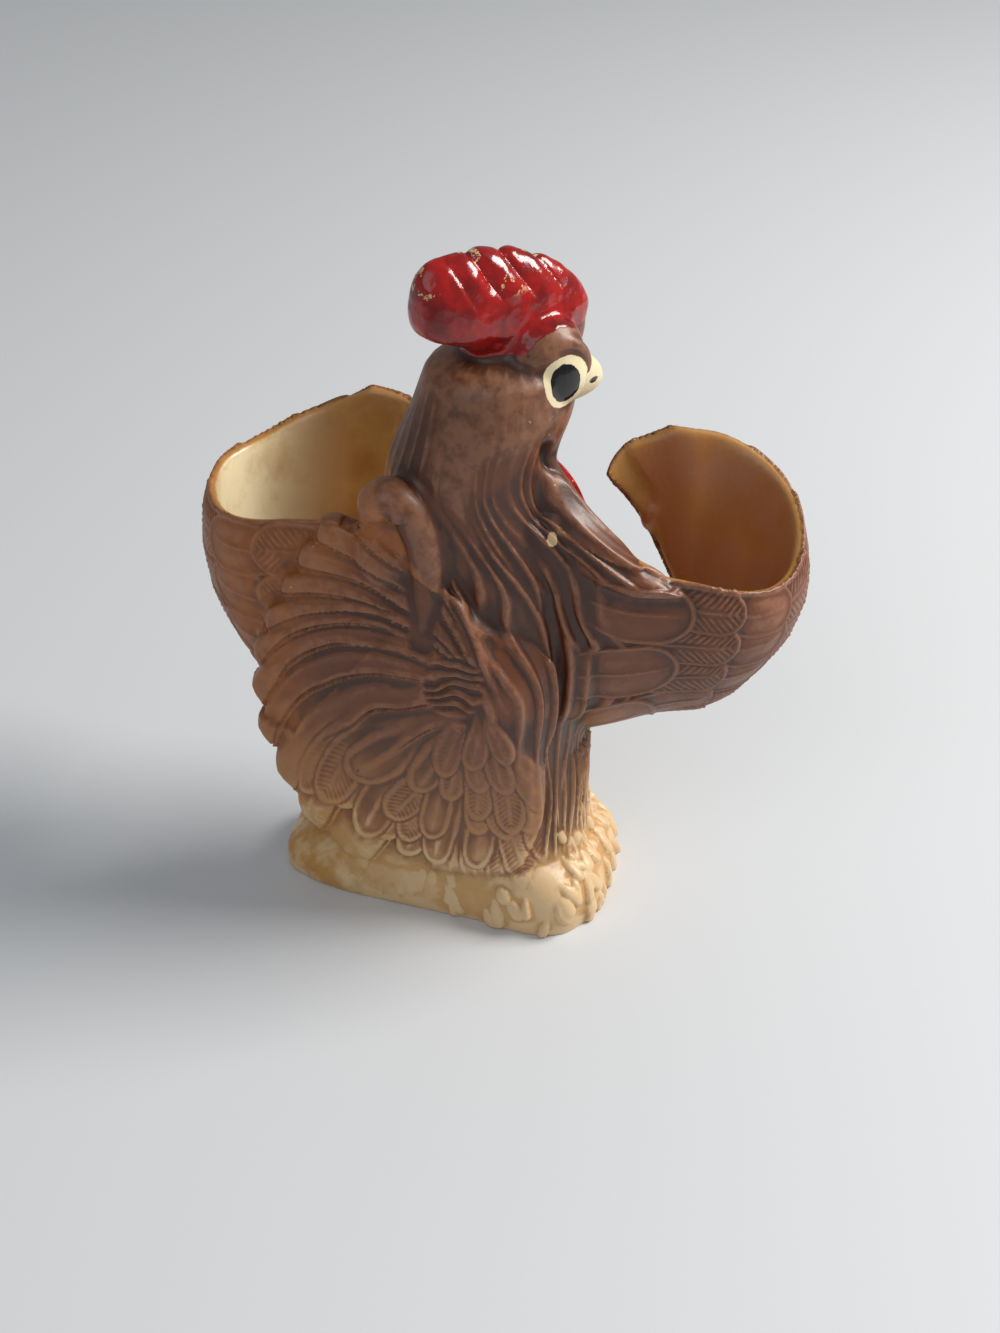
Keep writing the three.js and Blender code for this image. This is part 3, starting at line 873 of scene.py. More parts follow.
def around_spine(k, p):
    """Degrees round the spine from the front over the bird's right, with the radius there."""
    share = np.clip(p[:, 2] / k.height, FOOT, 0.87)
    s = spine(k, share)
    d = p[:, :2] - s.centre[:, :2]
    return np.degrees(np.arctan2(-d[:, 0], -d[:, 1])) % 360, np.hypot(d[:, 0], d[:, 1])


def around_fan(k, c, p):
    """Degrees of the feather that a point of the fan lies on, found by halving, and its share of the
    fan's reach."""
    heart = fan_heart(k)
    dx, dz = p[:, 0] - heart[0], p[:, 2] - heart[2]
    r = np.hypot(dx, dz)
    seen = (np.degrees(np.arctan2(dx, dz)) - np.degrees(c.tail_turn)) % 360
    seen = np.where(seen > 290, seen - 360, seen)
    low, high = seen - 1, seen + 80
    for _ in range(14):
        degrees = (low + high) / 2
        reach = fan_outline(k, c, np.where(degrees < FAN_FIRST, degrees + 360, degrees))
        arch = c.feather_arch * (0.43 + 0.57 * smooth(30, 95, degrees)) * smooth(150, 98, degrees)
        before = degrees - np.degrees(arch) * (1 - np.clip(r / reach, 0, 1)) < seen
        low, high = np.where(before, degrees, low), np.where(before, high, degrees)
    return degrees, r, r / reach


# How far round the strands on the back swing while they fall, in degrees, and how strongly the
# strands are carved, by height in millimetres

STRAND_SWING = 76
STRAND_STRENGTH = ((8, 0.2), (20, 0.9), (50, 1.2), (75, 1.5), (95, 1.35), (110, 0.7), (122, 0.2),
                   (146, 0.05))


def strand_lanes(k, p):
    """Each point's strand, as degrees round the head where it starts, and its distance from the spine.
    Strands fall straight at the front and swing towards the right wing on the back."""
    degrees, radius = around_spine(k, p)
    fall = 0.5 * k.height - 0.1 * k.height * np.logaddexp(0, (p[:, 2] - 0.43 * k.height) / (0.1 * k.height))
    fall = fall + 0.1 * k.height * np.logaddexp(0, (p[:, 2] - 0.83 * k.height) / (0.1 * k.height))
    swing = STRAND_SWING * np.clip(fall / (0.5 * k.height) - 0.2, 0, 1)
    return degrees + swing * smooth(60, 185, degrees) * smooth(360, 215, degrees), radius


def carve_neck(k, c, relief, p):
    """Long soft strands: narrow crests with broad hollows between, that part and join as they fall."""
    lane, radius = strand_lanes(k, p)
    z = p[:, 2]
    height = np.zeros(len(p))
    marks = np.zeros(len(p))
    weave = smooth(-0.25, 0.25, drift(lane / 40, z / 30, c.seed))
    for count, part in ((c.strands, 1 - weave), (1.37 * c.strands, weave)):
        v = lane * round(count) / 360
        v = v + 0.62 * drift(v / 1.7, z / 17, c.seed + 1)
        crest = (0.5 + 0.5 * np.cos(2 * pi * v)) ** 3.2
        height += part * crest
        marks += part * smooth(0.75, 1, crest)
    strength = through(STRAND_STRENGTH, z)
    strength = strength * (0.66 + 0.6 * drift(lane / 15, z / 17, c.seed + 4))
    where = smooth(15, 24, z) * smooth(149, 146, z)
    where = where * smooth(40, 37, radius) * smooth(35, 30, np.abs(p[:, 0]))
    strength = strength * (1 - 0.35 * smooth(20, 24, p[:, 1]))
    relief.height = c.hackle_depth * strength * height * where
    relief.inset = 0.62 * where
    relief.line = 0.5 * marks * np.clip(strength, 0, 1) * where


# Where the coverts of each row end, in millimetres along the wing

COVERT_TIPS = (150, 136, 120, 104, 88, 73, 58, 45)


def carve_wing(k, c, relief, p, side):
    """Rows of coverts that overlap towards the wing's tip, and lie along its band."""
    w = wing(k, side)
    at = on_wing(k, w, p)
    outer = np.flatnonzero(at.band & (at.off > 0.2) & (at.off < 13) & (at.degrees > TIP - 3))
    before = relief.height.copy(), relief.line.copy(), relief.inset.copy()
    relief.inset[outer] = np.maximum(relief.inset[outer], 1.08 * smooth(0.2, 1.6, at.off[outer]))
    band = at.rim[outer] - at.keel[outer]
    level = (p[outer, 2] - at.keel[outer]) / band
    deep = c.covert_depth
    rng = np.random.default_rng(c.seed + 3)
    for row, tip in enumerate(COVERT_TIPS):
        first = tip == COVERT_TIPS[-1]
        lanes = 3 if first else 4
        length = 27 if first else 25
        for lane in range(lanes):
            middle = (lane + 0.5 - 0.3 * (row % 2)) / (lanes - 0.3 * (row % 2))
            reach = tip - 9 * (1 - middle) + rng.uniform(-1.2, 1.2)
            look = style(
                step=0.75 * deep, dome=0.25 * deep, rim=0.32 * deep, quill=0.22 * deep,
                barb=0 if first else rng.choice((0.3, 0.08, 0.0)) * deep, pitch=1.8, root=0.75, tip=1.15,
                fade=0.4 if first else 0.15, barbs_from=0.3,
            )
            along = at.along[outer] - (reach - length)
            across = (level - middle) * band + 0.9 * np.sin(pi * np.clip(along / length, 0, 1))
            relief.lay(outer, along, across, length, 0.62 * np.mean(band) / lanes, look)
    share = smooth(13.5, 22, side * p[:, 0])
    for values, old in zip((relief.height, relief.line, relief.inset), before):
        values[:] = old + (values - old) * share


# Rows of hanging feathers: their first and last direction and the step between two in degrees from
# straight up, and where they start and end, in millimetres from the fan's heart

HANGING_ROWS = ((127, 206, 9, 33, 62), (131, 207, 10, 25, 55), (136, 206, 11.5, 17, 47),
                (144, 205, 14, 10, 38), (152, 204, 18, 5, 29), (166, 202, 24, 2, 20))


def carve_tail(k, c, relief, p, normal):
    """Long shingled feathers arch out to the fan's edge; drop-shaped ones hang below the heart."""
    heart = fan_heart(k)
    degrees, r, share = around_fan(k, c, p)
    behind = p[:, 1] > heart[1] - FAN_LEAN * np.maximum(p[:, 0] - heart[0], 0) - 1.0
    facing = smooth(-0.2, 0.25, normal[:, 1]) * smooth(7, 13, p[:, 2])
    deep = c.tail_depth
    pace = (FAN_LAST - FAN_FIRST) / c.tail_lanes

    lane = (degrees - FAN_FIRST) / pace + 0.10 * drift(degrees / pace, r / 9, c.seed + 6)
    number = np.floor(lane)
    low_part = smooth(80, 108, degrees)
    split = smooth(0.45 - 0.33 * low_part, 0.75 - 0.4 * low_part, share)
    rise, crest, quill = 0 * r, 0 * r, 0 * r
    for lanes, part in ((2, 1 - split), (1, split)):
        f = lane / lanes % 1
        wide = lanes * np.radians(pace) * np.maximum(r, 8)
        rise += part * deep * 0.95 * (f ** 1.2 * smooth(1, 0.9, f) + 0.75 * smooth(0.1, 0, f))
        crest += part * hump(np.minimum(f, 1 - f) * wide, 0.6)
        quill += part * hump((f - 0.5) * wide, 0.7)
    f = lane / 2 % 1
    strokes = 0.5 + 0.5 * np.cos(2 * pi * (r / 2.0 + 1.1 * f))
    strokes = strokes * smooth(0.55, 0.1, f) * smooth(0.02, 0.1, f)
    barbed = np.isin(number, (7, 9)) * smooth(14, 17, r) * smooth(34, 27, r)
    height = rise + deep * (0.28 * crest + 0.1 * quill + 0.45 * strokes * barbed)
    member = smooth(FAN_FIRST + 3, FAN_FIRST + 8, degrees) * smooth(158, 147, degrees) * smooth(7, 10, r)
    member = member * smooth(1.06, 1.0, share) * behind * facing
    relief.height += (height - relief.height) * member
    relief.line += (np.maximum(crest, 0.4 * quill) - relief.line) * member
    relief.inset = np.maximum(relief.inset, 0.98 * smooth(0.92, 0.7, share) * behind * facing)

    across_heart = p[:, 0] - heart[0] - 0.12 * k.tail_radius
    level = p[:, 2] - heart[2] - 0.05 * k.tail_radius + 0.22 * across_heart
    waves = level / 2.9 + 0.7 * drift(across_heart / 5, level / 6, c.seed)
    stripe = (0.5 + 0.5 * np.cos(2 * pi * waves)) ** 1.3
    member = smooth(1.2, 0.85, np.hypot(across_heart / 6.5, level / 8)) * behind * facing
    relief.height += (deep * 0.6 * stripe - relief.height) * member
    relief.line += (0.4 * stripe - relief.line) * member

    where = np.flatnonzero((degrees > 100) & (degrees < 222) & (r < 68) & (p[:, 1] > 4) & (facing > 0.3))
    rng = np.random.default_rng(c.seed + 5)
    before = relief.height.copy(), relief.line.copy()
    for first, last, step, start, end in HANGING_ROWS:
        for centre in np.arange(first, last + 1e-6, step):
            turn = centre + rng.uniform(-2.5, 2.5)
            tip = end * (1 + rng.uniform(-0.1, 0.1))
            drop = style(
                step=0.65 * deep, dome=0.35 * deep, rim=0.2 * deep, quill=rng.uniform(0.02, 0.2) * deep,
                barb=rng.choice((0.0, 0.05, 0.1)) * deep, pitch=1.5, line=0.5, soft=0.55, root=0.5,
                widest=0.65, tip=1.9, fade=0.5, barbs_from=0.4,
            )
            off = np.radians((degrees[where] - turn + 180) % 360 - 180)
            along = r[where] * np.cos(off) - start
            across = r[where] * np.sin(off) + 0.8 * np.sin((r[where] - start) / 7 + turn)
            half = 0.56 * np.radians(step) * (0.35 * start + 0.65 * tip)
            relief.lay(where, along, across, tip - start, half, drop)
    share = smooth(11, 18, p[:, 2]) * smooth(-15, -8, p[:, 0])
    for values, old in zip((relief.height, relief.line), before):
        values[:] = old + (values - old) * share


# How many straws lie on the mound

STRAWS = 260


def carve_mound(k, c, relief, p, normal):
    """Short straws strewn over the mound, pointing down its slope and out."""
    rng = np.random.default_rng(c.seed + 8)
    radius = around_spine(k, p)[1]
    body = spine(k, np.clip(p[:, 2] / k.height, FOOT, 0.5))
    clear = radius - np.maximum(body.across, body.along)
    tail = (p[:, 1] > 10) & (p[:, 2] > 12) & (p[:, 0] > -14)
    low = (p[:, 2] > 0.6) & (p[:, 2] < k.base_rise + 4)
    on_mound = np.flatnonzero(low & (clear > -1) & (normal[:, 2] > -0.3) & ~tail)
    if len(on_mound) == 0:
        return
    down = normal * normal[:, 2:3] - UP
    down += 0.5 * np.stack([p[:, 0] - k.base_shift, p[:, 1], 0 * p[:, 0]], axis=1) / 30
    for centre in rng.choice(on_mound, STRAWS, replace=False):
        way = down[centre] - normal[centre] * np.dot(down[centre], normal[centre])
        turn = rng.normal(0, 0.3)
        side = np.cross(normal[centre], way)
        way, side = way * cos(turn) + side * sin(turn), side * cos(turn) - way * sin(turn)
        size = max(np.linalg.norm(way), 1e-6)
        way, side = way / size, side / size
        length, half = rng.uniform(5, 9), rng.uniform(1.2, 2.2)
        close = on_mound[np.abs(p[on_mound] - p[centre]).max(axis=1) < length]
        gap = p[close] - p[centre]
        close, gap = close[np.abs(gap @ normal[centre]) < 2.5], gap[np.abs(gap @ normal[centre]) < 2.5]
        deep = c.straw_depth * (0.3 + 0.7 * smooth(18, -2, p[centre, 0]))
        look = style(
            step=0.7 * deep, dome=0.5 * deep, rim=0, quill=0, soft=0.7, root=0.5, tip=1.2, fade=0.35,
        )
        relief.lay(close, gap @ way + length / 2, gap @ side, length, half, look)


# Places to the left and to the rear as shares of the body's width, and up as a share of the height

EAR = (-0.25, 0.15, 0.734)
CHIP = (-0.265, 0.263, 0.634)


def ear_depth(k, p):
    """How deep a point lies in the ear hollow, a slanted oval behind and below the right eye."""
    q = p - EAR * np.array([k.body_width, k.body_width, k.height])
    lean = q[:, 2] * 0.5 - q[:, 1]
    return np.exp(-((q[:, 2] / 4.4) ** 2 + (q[:, 0] / 5) ** 2 + (lean / 2.0) ** 2))


def carve(k, c, p, normal):
    """All the relief on the casting."""
    relief = Relief(len(p))
    carve_neck(k, c, relief, p)
    for side in (-1, 1):
        carve_wing(k, c, relief, p, side)
    carve_tail(k, c, relief, p, normal)
    on_tall = smooth(1.5, 1.15, tall_gap(k, p))
    relief.height += (0.4 - relief.height) * on_tall
    relief.line *= 1 - on_tall
    carve_mound(k, c, relief, p, normal)
    fields = face_fields(k, p)
    bare_face = smooth(0.5, -0.6, fields["comb"]) * smooth(1.0, 1.25, fields["eye"])
    bare_face = bare_face * smooth(0.4, -0.4, fields["beak"]) * smooth(0.4, -0.4, fields["wattle"])
    relief.height *= bare_face
    relief.line *= bare_face
    h = head(k)
    q = p - h.centre
    s, side = q @ h.face / (k.comb_length / 2) + COMB_BACK, q @ h.cheek
    slant = s + 0.63 * (p[:, 2] - k.height) / k.comb_height + 0.004 * side
    folds = np.abs(np.sin(1.6 * c.comb_lobes * slant + 0.5 * drift(s * 3, side / 5, c.seed + 12)))
    upper = smooth(0.45, 0.8, (p[:, 2] - k.height) / k.comb_height + 1) * smooth(-0.75, -0.35, s)
    knobs = drift(s * 8, p[:, 2] / 2.2, c.seed + 9) * 0.18 + 0.22 * drift(s * 4, side / 3, c.seed + 10)
    red = smooth(-0.3, 0.6, fields["comb"])
    relief.height += red * (1.2 * (folds ** 0.6 - 0.8) * upper + knobs)
    relief.height -= 2.6 * ear_depth(k, p)
    return relief


def face_fields(k, p):
    """Radii round the eyes and pupils, and depths into comb, wattles, beak and nostrils."""
    h = head(k)
    d = p - h.centre
    f, s, u = d @ h.face, d @ h.cheek, d[:, 2]
    eye = np.full(len(p), FAR)
    pupil = eye.copy()
    for side in (-1, 1):
        e = eye_frame(k, side)
        q = p - e.place
        x, y, out = q @ e.across, q[:, 2], q @ e.way
        far = np.where((out > -2.3) & (out < 6), 0, FAR)
        ring = np.hypot(x / (0.51 * k.eye_width), y / (0.46 * k.eye_height)) + far
        black = np.hypot((x - 0.5) / (0.32 * k.eye_width), (y + 0.1) / (0.35 * k.eye_height)) + far
        eye, pupil = np.minimum(eye, ring), np.minimum(pupil, black)
    comb = p[:, 2] - (0.871 * k.height - 0.12 * p[:, 0])
    for side in (-1, 1):
        e = eye_frame(k, side)
        q = p - e.place
        wide, high = q @ e.across / (0.95 * k.eye_width), q[:, 2] / (0.93 * k.eye_height)
        comb = np.minimum(comb, 7 * (np.sqrt(wide ** 2 + high ** 2 + (q @ e.way / 10) ** 2) - 1))
    wattle = np.full(len(p), -FAR)
    throat = spine(k, THROAT_LEVEL)
    for side in (-1, 1):
        half = k.wattle_width / 2
        q = p - wattle_place(k, h, throat, side)
        level = q[:, 2] / (k.wattle_length * WATTLE_HALF)
        ahead = q @ h.face + WATTLE_LEAN * k.wattle_length * level
        radius = np.sqrt((q @ h.cheek / half) ** 2 + (ahead / half) ** 2 + level ** 2)
        wattle = np.maximum(wattle, (1.1 - radius) * half)
    level = (u + 0.45 * k.beak_depth) / (0.66 * k.beak_depth)
    beak = 1.12 - np.sqrt((s / (k.beak_width / 2)) ** 2 + level ** 2)
    beak = np.minimum(beak * 5, f - (h.along - 1.6))
    nostril = np.full(len(p), FAR)
    for side in (-1, 1):
        ahead, aside = f - h.along - 0.5 * k.beak_length, s - side * 0.45 * k.beak_width
        level = u + 0.5 * k.beak_depth
        radius = np.sqrt((ahead / 1.9) ** 2 + (aside / 2.4) ** 2 + (level / 0.95) ** 2)
        nostril = np.minimum(nostril, radius)
    return dict(eye=eye, pupil=pupil, comb=comb, wattle=wattle, beak=beak, nostril=nostril)


# How deep under a cup's surface its paint is told apart, in millimetres

CUP_DEPTH = 3.0


def paint_fields(k, c, sheet, p):
    """What the paint follows, for each point of the finished casting."""
    normal = sheet.normals(p)
    relief = carve(k, c, p, normal)
    fields = face_fields(k, p)
    flat = p
    for _ in range(10):
        flat = flat + 0.6 * (sheet.mean(flat) - flat)
    fields["raised"] = np.clip(np.einsum("ij,ij->i", p - flat, normal) / 0.16, -1, 1)
    fields["line"] = relief.line
    cups = right, left = [on_wing(k, wing(k, side), p) for side in (-1, 1)]
    inside = in_right, in_left = [
        at.band & (at.off > -5) & (at.off < CUP_DEPTH) & (at.degrees > TIP - 12) for at in cups
    ]
    depths = [np.clip(-at.off, -CUP_DEPTH, CUP_DEPTH) for at in cups]
    fields["cup"] = np.maximum(*np.where(inside, depths, -CUP_DEPTH))
    # Painted light: white inside the left cup on its side away from the body, which faces the window light
    fields["painted_light_cup"] = in_left * smooth(-112, -30, left.degrees) * smooth(150, 75, left.degrees)
    fields["warm_cup"] = in_right
    fields["deep_cup"] = smooth(10, -20, p[:, 0]) * smooth(-95, -150, right.degrees)
    degrees, _, share = around_fan(k, c, p)
    # Amber spray on the tail's edge and the left wing, with a painted warm reflection on the bird's left
    fan_edge = smooth(0.6, 1.0, share) * (degrees > 20) * (degrees < 150) * (p[:, 1] > 4)
    left_wing = smooth(38, 62, p[:, 0]) * (p[:, 2] > 40)
    fields["warm"] = np.clip(fan_edge + 0.8 * left_wing, 0, 1)
    lower = 15 + 7 * smooth(10, 45, p[:, 0]) + 5 * smooth(-5, -18, p[:, 0])
    fields["bare"] = lower - p[:, 2]
    chip = p - CHIP * np.array([k.body_width, k.body_width, k.height])
    fields["chip"] = np.sqrt((chip[:, 0] / 1.0) ** 2 + (chip[:, 1] / 1.6) ** 2 + (chip[:, 2] / 1.9) ** 2)
    fields["faded"] = smooth(66, 18, p[:, 2])
    fields["dusk"] = smooth(72, 108, p[:, 2]) * smooth(33, 26, around_spine(k, p)[1])
    fields["left_mound"] = smooth(8, 48, p[:, 0])
    fields["crown"] = smooth(-9, -2, p[:, 2] - k.height + 3)
    return fields


def clear_old(name):
    """Removes the piece of an earlier run."""
    old = bpy.data.objects.get(name)
    if old is not None:
        bpy.data.objects.remove(old)


# Operators

class ROOSTER_OT_casting(bpy.types.Operator):
    """Build the casting: fused forms with the feathers carved on them"""

    bl_idname = "rooster.casting"
    bl_label = "Casting"

    def execute(self, context):
        clear_old("rooster_casting")
        k, c = plain(context.scene.rooster_sizes), plain(context.scene.rooster_carving)
        skins = [
            trunk_skin(k), wing_skin(k, -1), wing_skin(k, 1), fan_skin(k, c), mound_skin(k),
            comb_skin(k), beak_skin(k), *eye_skins(k, 1), *eye_skins(k, -1), wattle_skin(k, 1),
            wattle_skin(k, -1), *tall_feather_skins(k), shoulder_skin(k), *hollow_skins(k),
        ]
        starts = np.cumsum([0] + [len(places) for places, _ in skins[:-1]])
        places = np.concatenate([s[0] for s in skins])
        faces = np.concatenate([s[1] + start for s, start in zip(skins, starts)])
        joined = mesh_from("fused", places, faces)
        fused = modified("Fuse", joined, "REMESH", mode="VOXEL", voxel_size=c.grain * MM, adaptivity=0.0)
        places, faces, edges = arrays_from(fused)
        sheet = Sheet(len(places), faces, edges)
        places = settle(sheet, places, SETTLE_ROUNDS)
        normal = sheet.normals(places)
        relief = carve(k, c, places, normal)
        places = places + normal * (relief.height - relief.inset)[:, None]
        places[:, 2] = np.maximum(places[:, 2], 0)
        carved = mesh_from("carved", places, faces)
        bpy.data.meshes.remove(fused)
        share = min(1.0, c.faces / (2 * len(faces)))
        mesh = modified("Thin", carved, "DECIMATE", ratio=share, use_collapse_triangulate=True)
        mesh.name = "rooster_casting"
        mesh.shade_smooth()
        piece = bpy.data.objects.new("rooster_casting", mesh)
        context.collection.objects.link(piece)
        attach(piece, "root")
        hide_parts("rooster_holder")
        return {"FINISHED"}


class Graph:
    """Short ways to add nodes to a material."""

    def __init__(self, tree):
        self.tree = tree

    def node(self, kind, **values):
        made = self.tree.nodes.new(kind)
        for key, value in values.items():
            setattr(made, key, value)
        return made

    def feed(self, socket, value):
        if isinstance(value, bpy.types.NodeSocket):
            self.tree.links.new(value, socket)
        elif hasattr(value, "__len__"):
            socket.default_value = (*value, 1.0)[:4] if socket.type == "RGBA" else tuple(value)
        else:
            socket.default_value = value

    def field(self, name):
        return self.node("ShaderNodeAttribute", attribute_name=name).outputs["Fac"]

    def texture(self, kind, size, **values):
        """A texture whose cells measure size millimetres."""
        made = self.node(kind)
        self.feed(made.inputs["Vector"], self.node("ShaderNodeTexCoord").outputs["Object"])
        made.inputs["Scale"].default_value = 1 / (size * MM)
        for name, value in values.items():
            made.inputs[name].default_value = value
        return made

    def noise(self, size, detail):
        return self.texture("ShaderNodeTexNoise", size, Detail=detail, Roughness=0.55).outputs["Fac"]

    def cells(self, size):
        return self.texture("ShaderNodeTexVoronoi", size).outputs["Distance"]

    def sum(self, operation, a, b):
        made = self.node("ShaderNodeMath", operation=operation)
        for socket, value in zip(made.inputs, (a, b)):
            self.feed(socket, value)
        return made.outputs[0]

    def plus(self, a, b):
        return self.sum("ADD", a, b)

    def times(self, a, b):
        return self.sum("MULTIPLY", a, b)

    def larger(self, a, b):
        return self.sum("MAXIMUM", a, b)

    def sway(self, size, detail):
        """Noise with its middle at 0."""
        return self.sum("SUBTRACT", self.noise(size, detail), 0.5)

    def step(self, value, low, high, to_low=0.0, to_high=1.0):
        """to_low below low and to_high above high, with a smooth climb between."""
        made = self.node("ShaderNodeMapRange", interpolation_type="SMOOTHSTEP")
        names = "Value", "From Min", "From Max", "To Min", "To Max"
        for name, fed in zip(names, (value, low, high, to_low, to_high)):
            self.feed(made.inputs[name], fed)
        return made.outputs["Result"]

    def patches(self, size, detail, low, high, to_low=0.0, to_high=1.0):
        """The step of noise."""
        return self.step(self.noise(size, detail), low, high, to_low, to_high)

    def blend(self, share, a, b):
        made = self.node("ShaderNodeMix", data_type="RGBA", blend_type="MIX")
        for i, value in ((0, share), (6, a), (7, b)):
            self.feed(made.inputs[i], value)
        return made.outputs[2]

    def mix(self, share, a, b):
        made = self.node("ShaderNodeMix", data_type="FLOAT")
        for i, value in ((0, share), (2, a), (3, b)):
            self.feed(made.inputs[i], value)
        return made.outputs[0]


def feather_paint(g, paint, raised, mottle):
    """Sprayed brown: umber in patches and high on the neck, and in the grooves as painted shade over brown
    that pools there; amber on the tail's edge and the left wing, as amber spray and a painted warm
    reflection; tan on the crests, as thin paint and a painted sheen; and thin towards the foot."""
    patches = g.noise(9, 4)
    # How deep in a groove a point lies, for the painted shade there
    groove_shade = g.step(raised, -0.05, -0.75)
    crest = g.step(raised, 0.12, 0.85)
    # Thin paint and a painted sheen on the crests and raised lines
    wear_and_sheen = g.times(g.larger(crest, g.times(g.field("line"), 0.8)), g.step(mottle, 0.3, 0.62, 0.25, 1.0))
    brown = g.blend(g.step(patches, 0.35, 0.7, 0.0, 0.3), paint.brown, paint.umber)
    brown = g.blend(g.times(g.field("dusk"), g.step(patches, 0.3, 0.7, 0.25, 0.6)), brown, paint.umber)
    # Painted shade: umber in the grooves, over brown that pools there
    brown = g.blend(g.times(groove_shade, 0.8), brown, paint.umber)
    # Painted warm reflection on the bird's left, over amber spray
    warm = g.times(g.field("warm"), g.patches(5, 3, 0.3, 0.65, 0.45, 1.0))
    brown = g.blend(g.times(warm, 0.9), brown, paint.amber)
    # Tan on the crests: thin paint with a painted sheen
    brown = g.blend(g.times(wear_and_sheen, 0.42), brown, paint.tan)
    thin = g.blend(g.step(mottle, 0.3, 0.7, 0.1, 0.6), paint.tan, paint.honey)
    low = g.times(g.field("faded"), g.step(raised, -0.7, 0.3, 0.3, 0.85))
    return g.blend(low, brown, thin)


def straw_paint(g, paint, raised):
    """Where the mound is bare, with a ragged edge, and its cream that turns to honey; honey in the
    straw's hollows is painted shade.
    """
    depth = g.plus(g.field("bare"), g.times(g.sway(5, 4), 16))
    bare = g.larger(g.step(depth, -5.0, 5.0), g.times(g.step(depth, -16, 0), g.step(raised, 0.0, 0.8)))
    warm = g.times(g.field("left_mound"), g.patches(7, 3, 0.35, 0.6))
    straw = g.blend(warm, paint.cream, paint.honey)
    # Painted shade: honey in the hollows between the straws
    return bare, g.blend(g.step(raised, 0.0, -0.8, 0.0, 0.7), straw, paint.honey)


def cup_paint(g, paint):
    """Amber and honey spray: tan patches in the right cup, and white inside the left cup on its side
    away from the body, as painted light where the window light falls.
    """
    spray = g.blend(g.patches(12, 3, 0.35, 0.65, 0.35, 0.8), paint.amber, paint.honey)
    patchy = g.times(g.field("warm_cup"), g.patches(7, 3, 0.35, 0.65, 0.35, 0.95))
    spray = g.blend(patchy, spray, paint.tan)
    spray = g.blend(g.times(g.field("warm_cup"), 0.35), spray, paint.amber)
    spray = g.blend(g.times(g.field("deep_cup"), 0.5), spray, paint.amber)
    # Painted light inside the left cup
    pale = g.times(g.field("painted_light_cup"), g.patches(9, 4, 0.25, 0.55, 0.5, 1.0))
    return g.blend(pale, spray, paint.white)


def comb_paint(g, paint, speck):
    """Red with dark patches, and cream chips along the crown."""
    red = g.blend(g.patches(6, 3, 0.35, 0.7, 0.0, 0.8), paint.red, paint.dark_red)
    chips = g.times(g.patches(3.4, 3, 0.60, 0.62), g.step(speck, 0.4, 0.5))
    chipped = g.times(chips, g.step(g.field("crown"), 0.3, 0.7))
    return g.blend(g.times(chipped, 0.9), red, paint.cream)


def glaze_material(paint):
    """The paints in their order, from the feathers to the pupils, all under one glaze that is rougher
    on the brown than on the red and the eyes."""
    material = bpy.data.materials.new("painted_glaze")
    material.use_nodes = True
    tree = material.node_tree
    tree.nodes.clear()
    g = Graph(tree)
    mottle = g.noise(2.6, 4)
    raised = g.field("raised")
    wobble = g.sway(1.4, 3)

    bare, straw = straw_paint(g, paint, raised)
    colour = g.blend(bare, feather_paint(g, paint, raised, mottle), straw)

    in_cup = g.plus(g.field("cup"), g.times(wobble, 0.8))
    cup_share = g.step(in_cup, 0.6, 1.1)
    colour = g.blend(cup_share, colour, cup_paint(g, paint))
    # Honey along the cup rims: thin spray at the edge, and a painted glow where the light catches them
    rim = g.times(g.step(in_cup, -0.4, 0.3), g.step(in_cup, 1.6, 0.8))
    colour = g.blend(g.times(rim, 0.7), colour, paint.honey)

    red_depth = g.plus(g.larger(g.field("comb"), g.field("wattle")), g.times(wobble, 0.5))
    red_share = g.step(red_depth, -0.12, 0.12)
    colour = g.blend(red_share, colour, comb_paint(g, paint, g.noise(0.7, 2)))

    bare_chip = g.step(g.plus(g.field("chip"), g.times(wobble, 0.9)), 1.05, 0.95)
    flakes = g.times(g.patches(2.0, 3, 0.735, 0.75), g.step(raised, 0.3, 0.6))
    colour = g.blend(g.larger(bare_chip, g.times(flakes, 0.7)), colour, paint.cream)

    beak = g.step(g.plus(g.field("beak"), g.times(wobble, 0.6)), -0.12, 0.12)
    colour = g.blend(beak, colour, paint.white)
    ring = g.step(g.plus(g.field("eye"), g.times(wobble, 0.10)), 1.02, 0.98)
    colour = g.blend(ring, colour, paint.white)
    pupil = g.step(g.plus(g.field("pupil"), g.times(wobble, 0.16)), 1.02, 0.98)
    black = g.larger(pupil, g.step(g.field("nostril"), 1.1, 0.9))
    colour = g.blend(black, colour, paint.black)

    rough = g.mix(bare, g.step(mottle, 0.3, 0.7, 0.42, 0.54), 0.45)
    rough = g.mix(cup_share, rough, 0.3)
    rough = g.mix(red_share, rough, 0.17)
    rough = g.mix(g.larger(ring, black), rough, 0.12)

    pebbles = g.times(g.cells(2.3), red_share)
    bump = g.node("ShaderNodeBump")
    bump.inputs["Strength"].default_value = 0.35
    bump.inputs["Distance"].default_value = 0.0005
    g.feed(bump.inputs["Height"], g.plus(g.times(g.noise(1.1, 3), 0.35), pebbles))

    shader = g.node("ShaderNodeBsdfPrincipled")
    g.feed(shader.inputs["Base Color"], colour)
    g.feed(shader.inputs["Roughness"], rough)
    g.feed(shader.inputs["Normal"], bump.outputs["Normal"])
    shader.inputs["IOR"].default_value = 1.5
    shader.inputs["Coat Weight"].default_value = 0.15
    shader.inputs["Coat Roughness"].default_value = 0.2
    output = g.node("ShaderNodeOutputMaterial")
    g.tree.links.new(shader.outputs["BSDF"], output.inputs["Surface"])
    return material


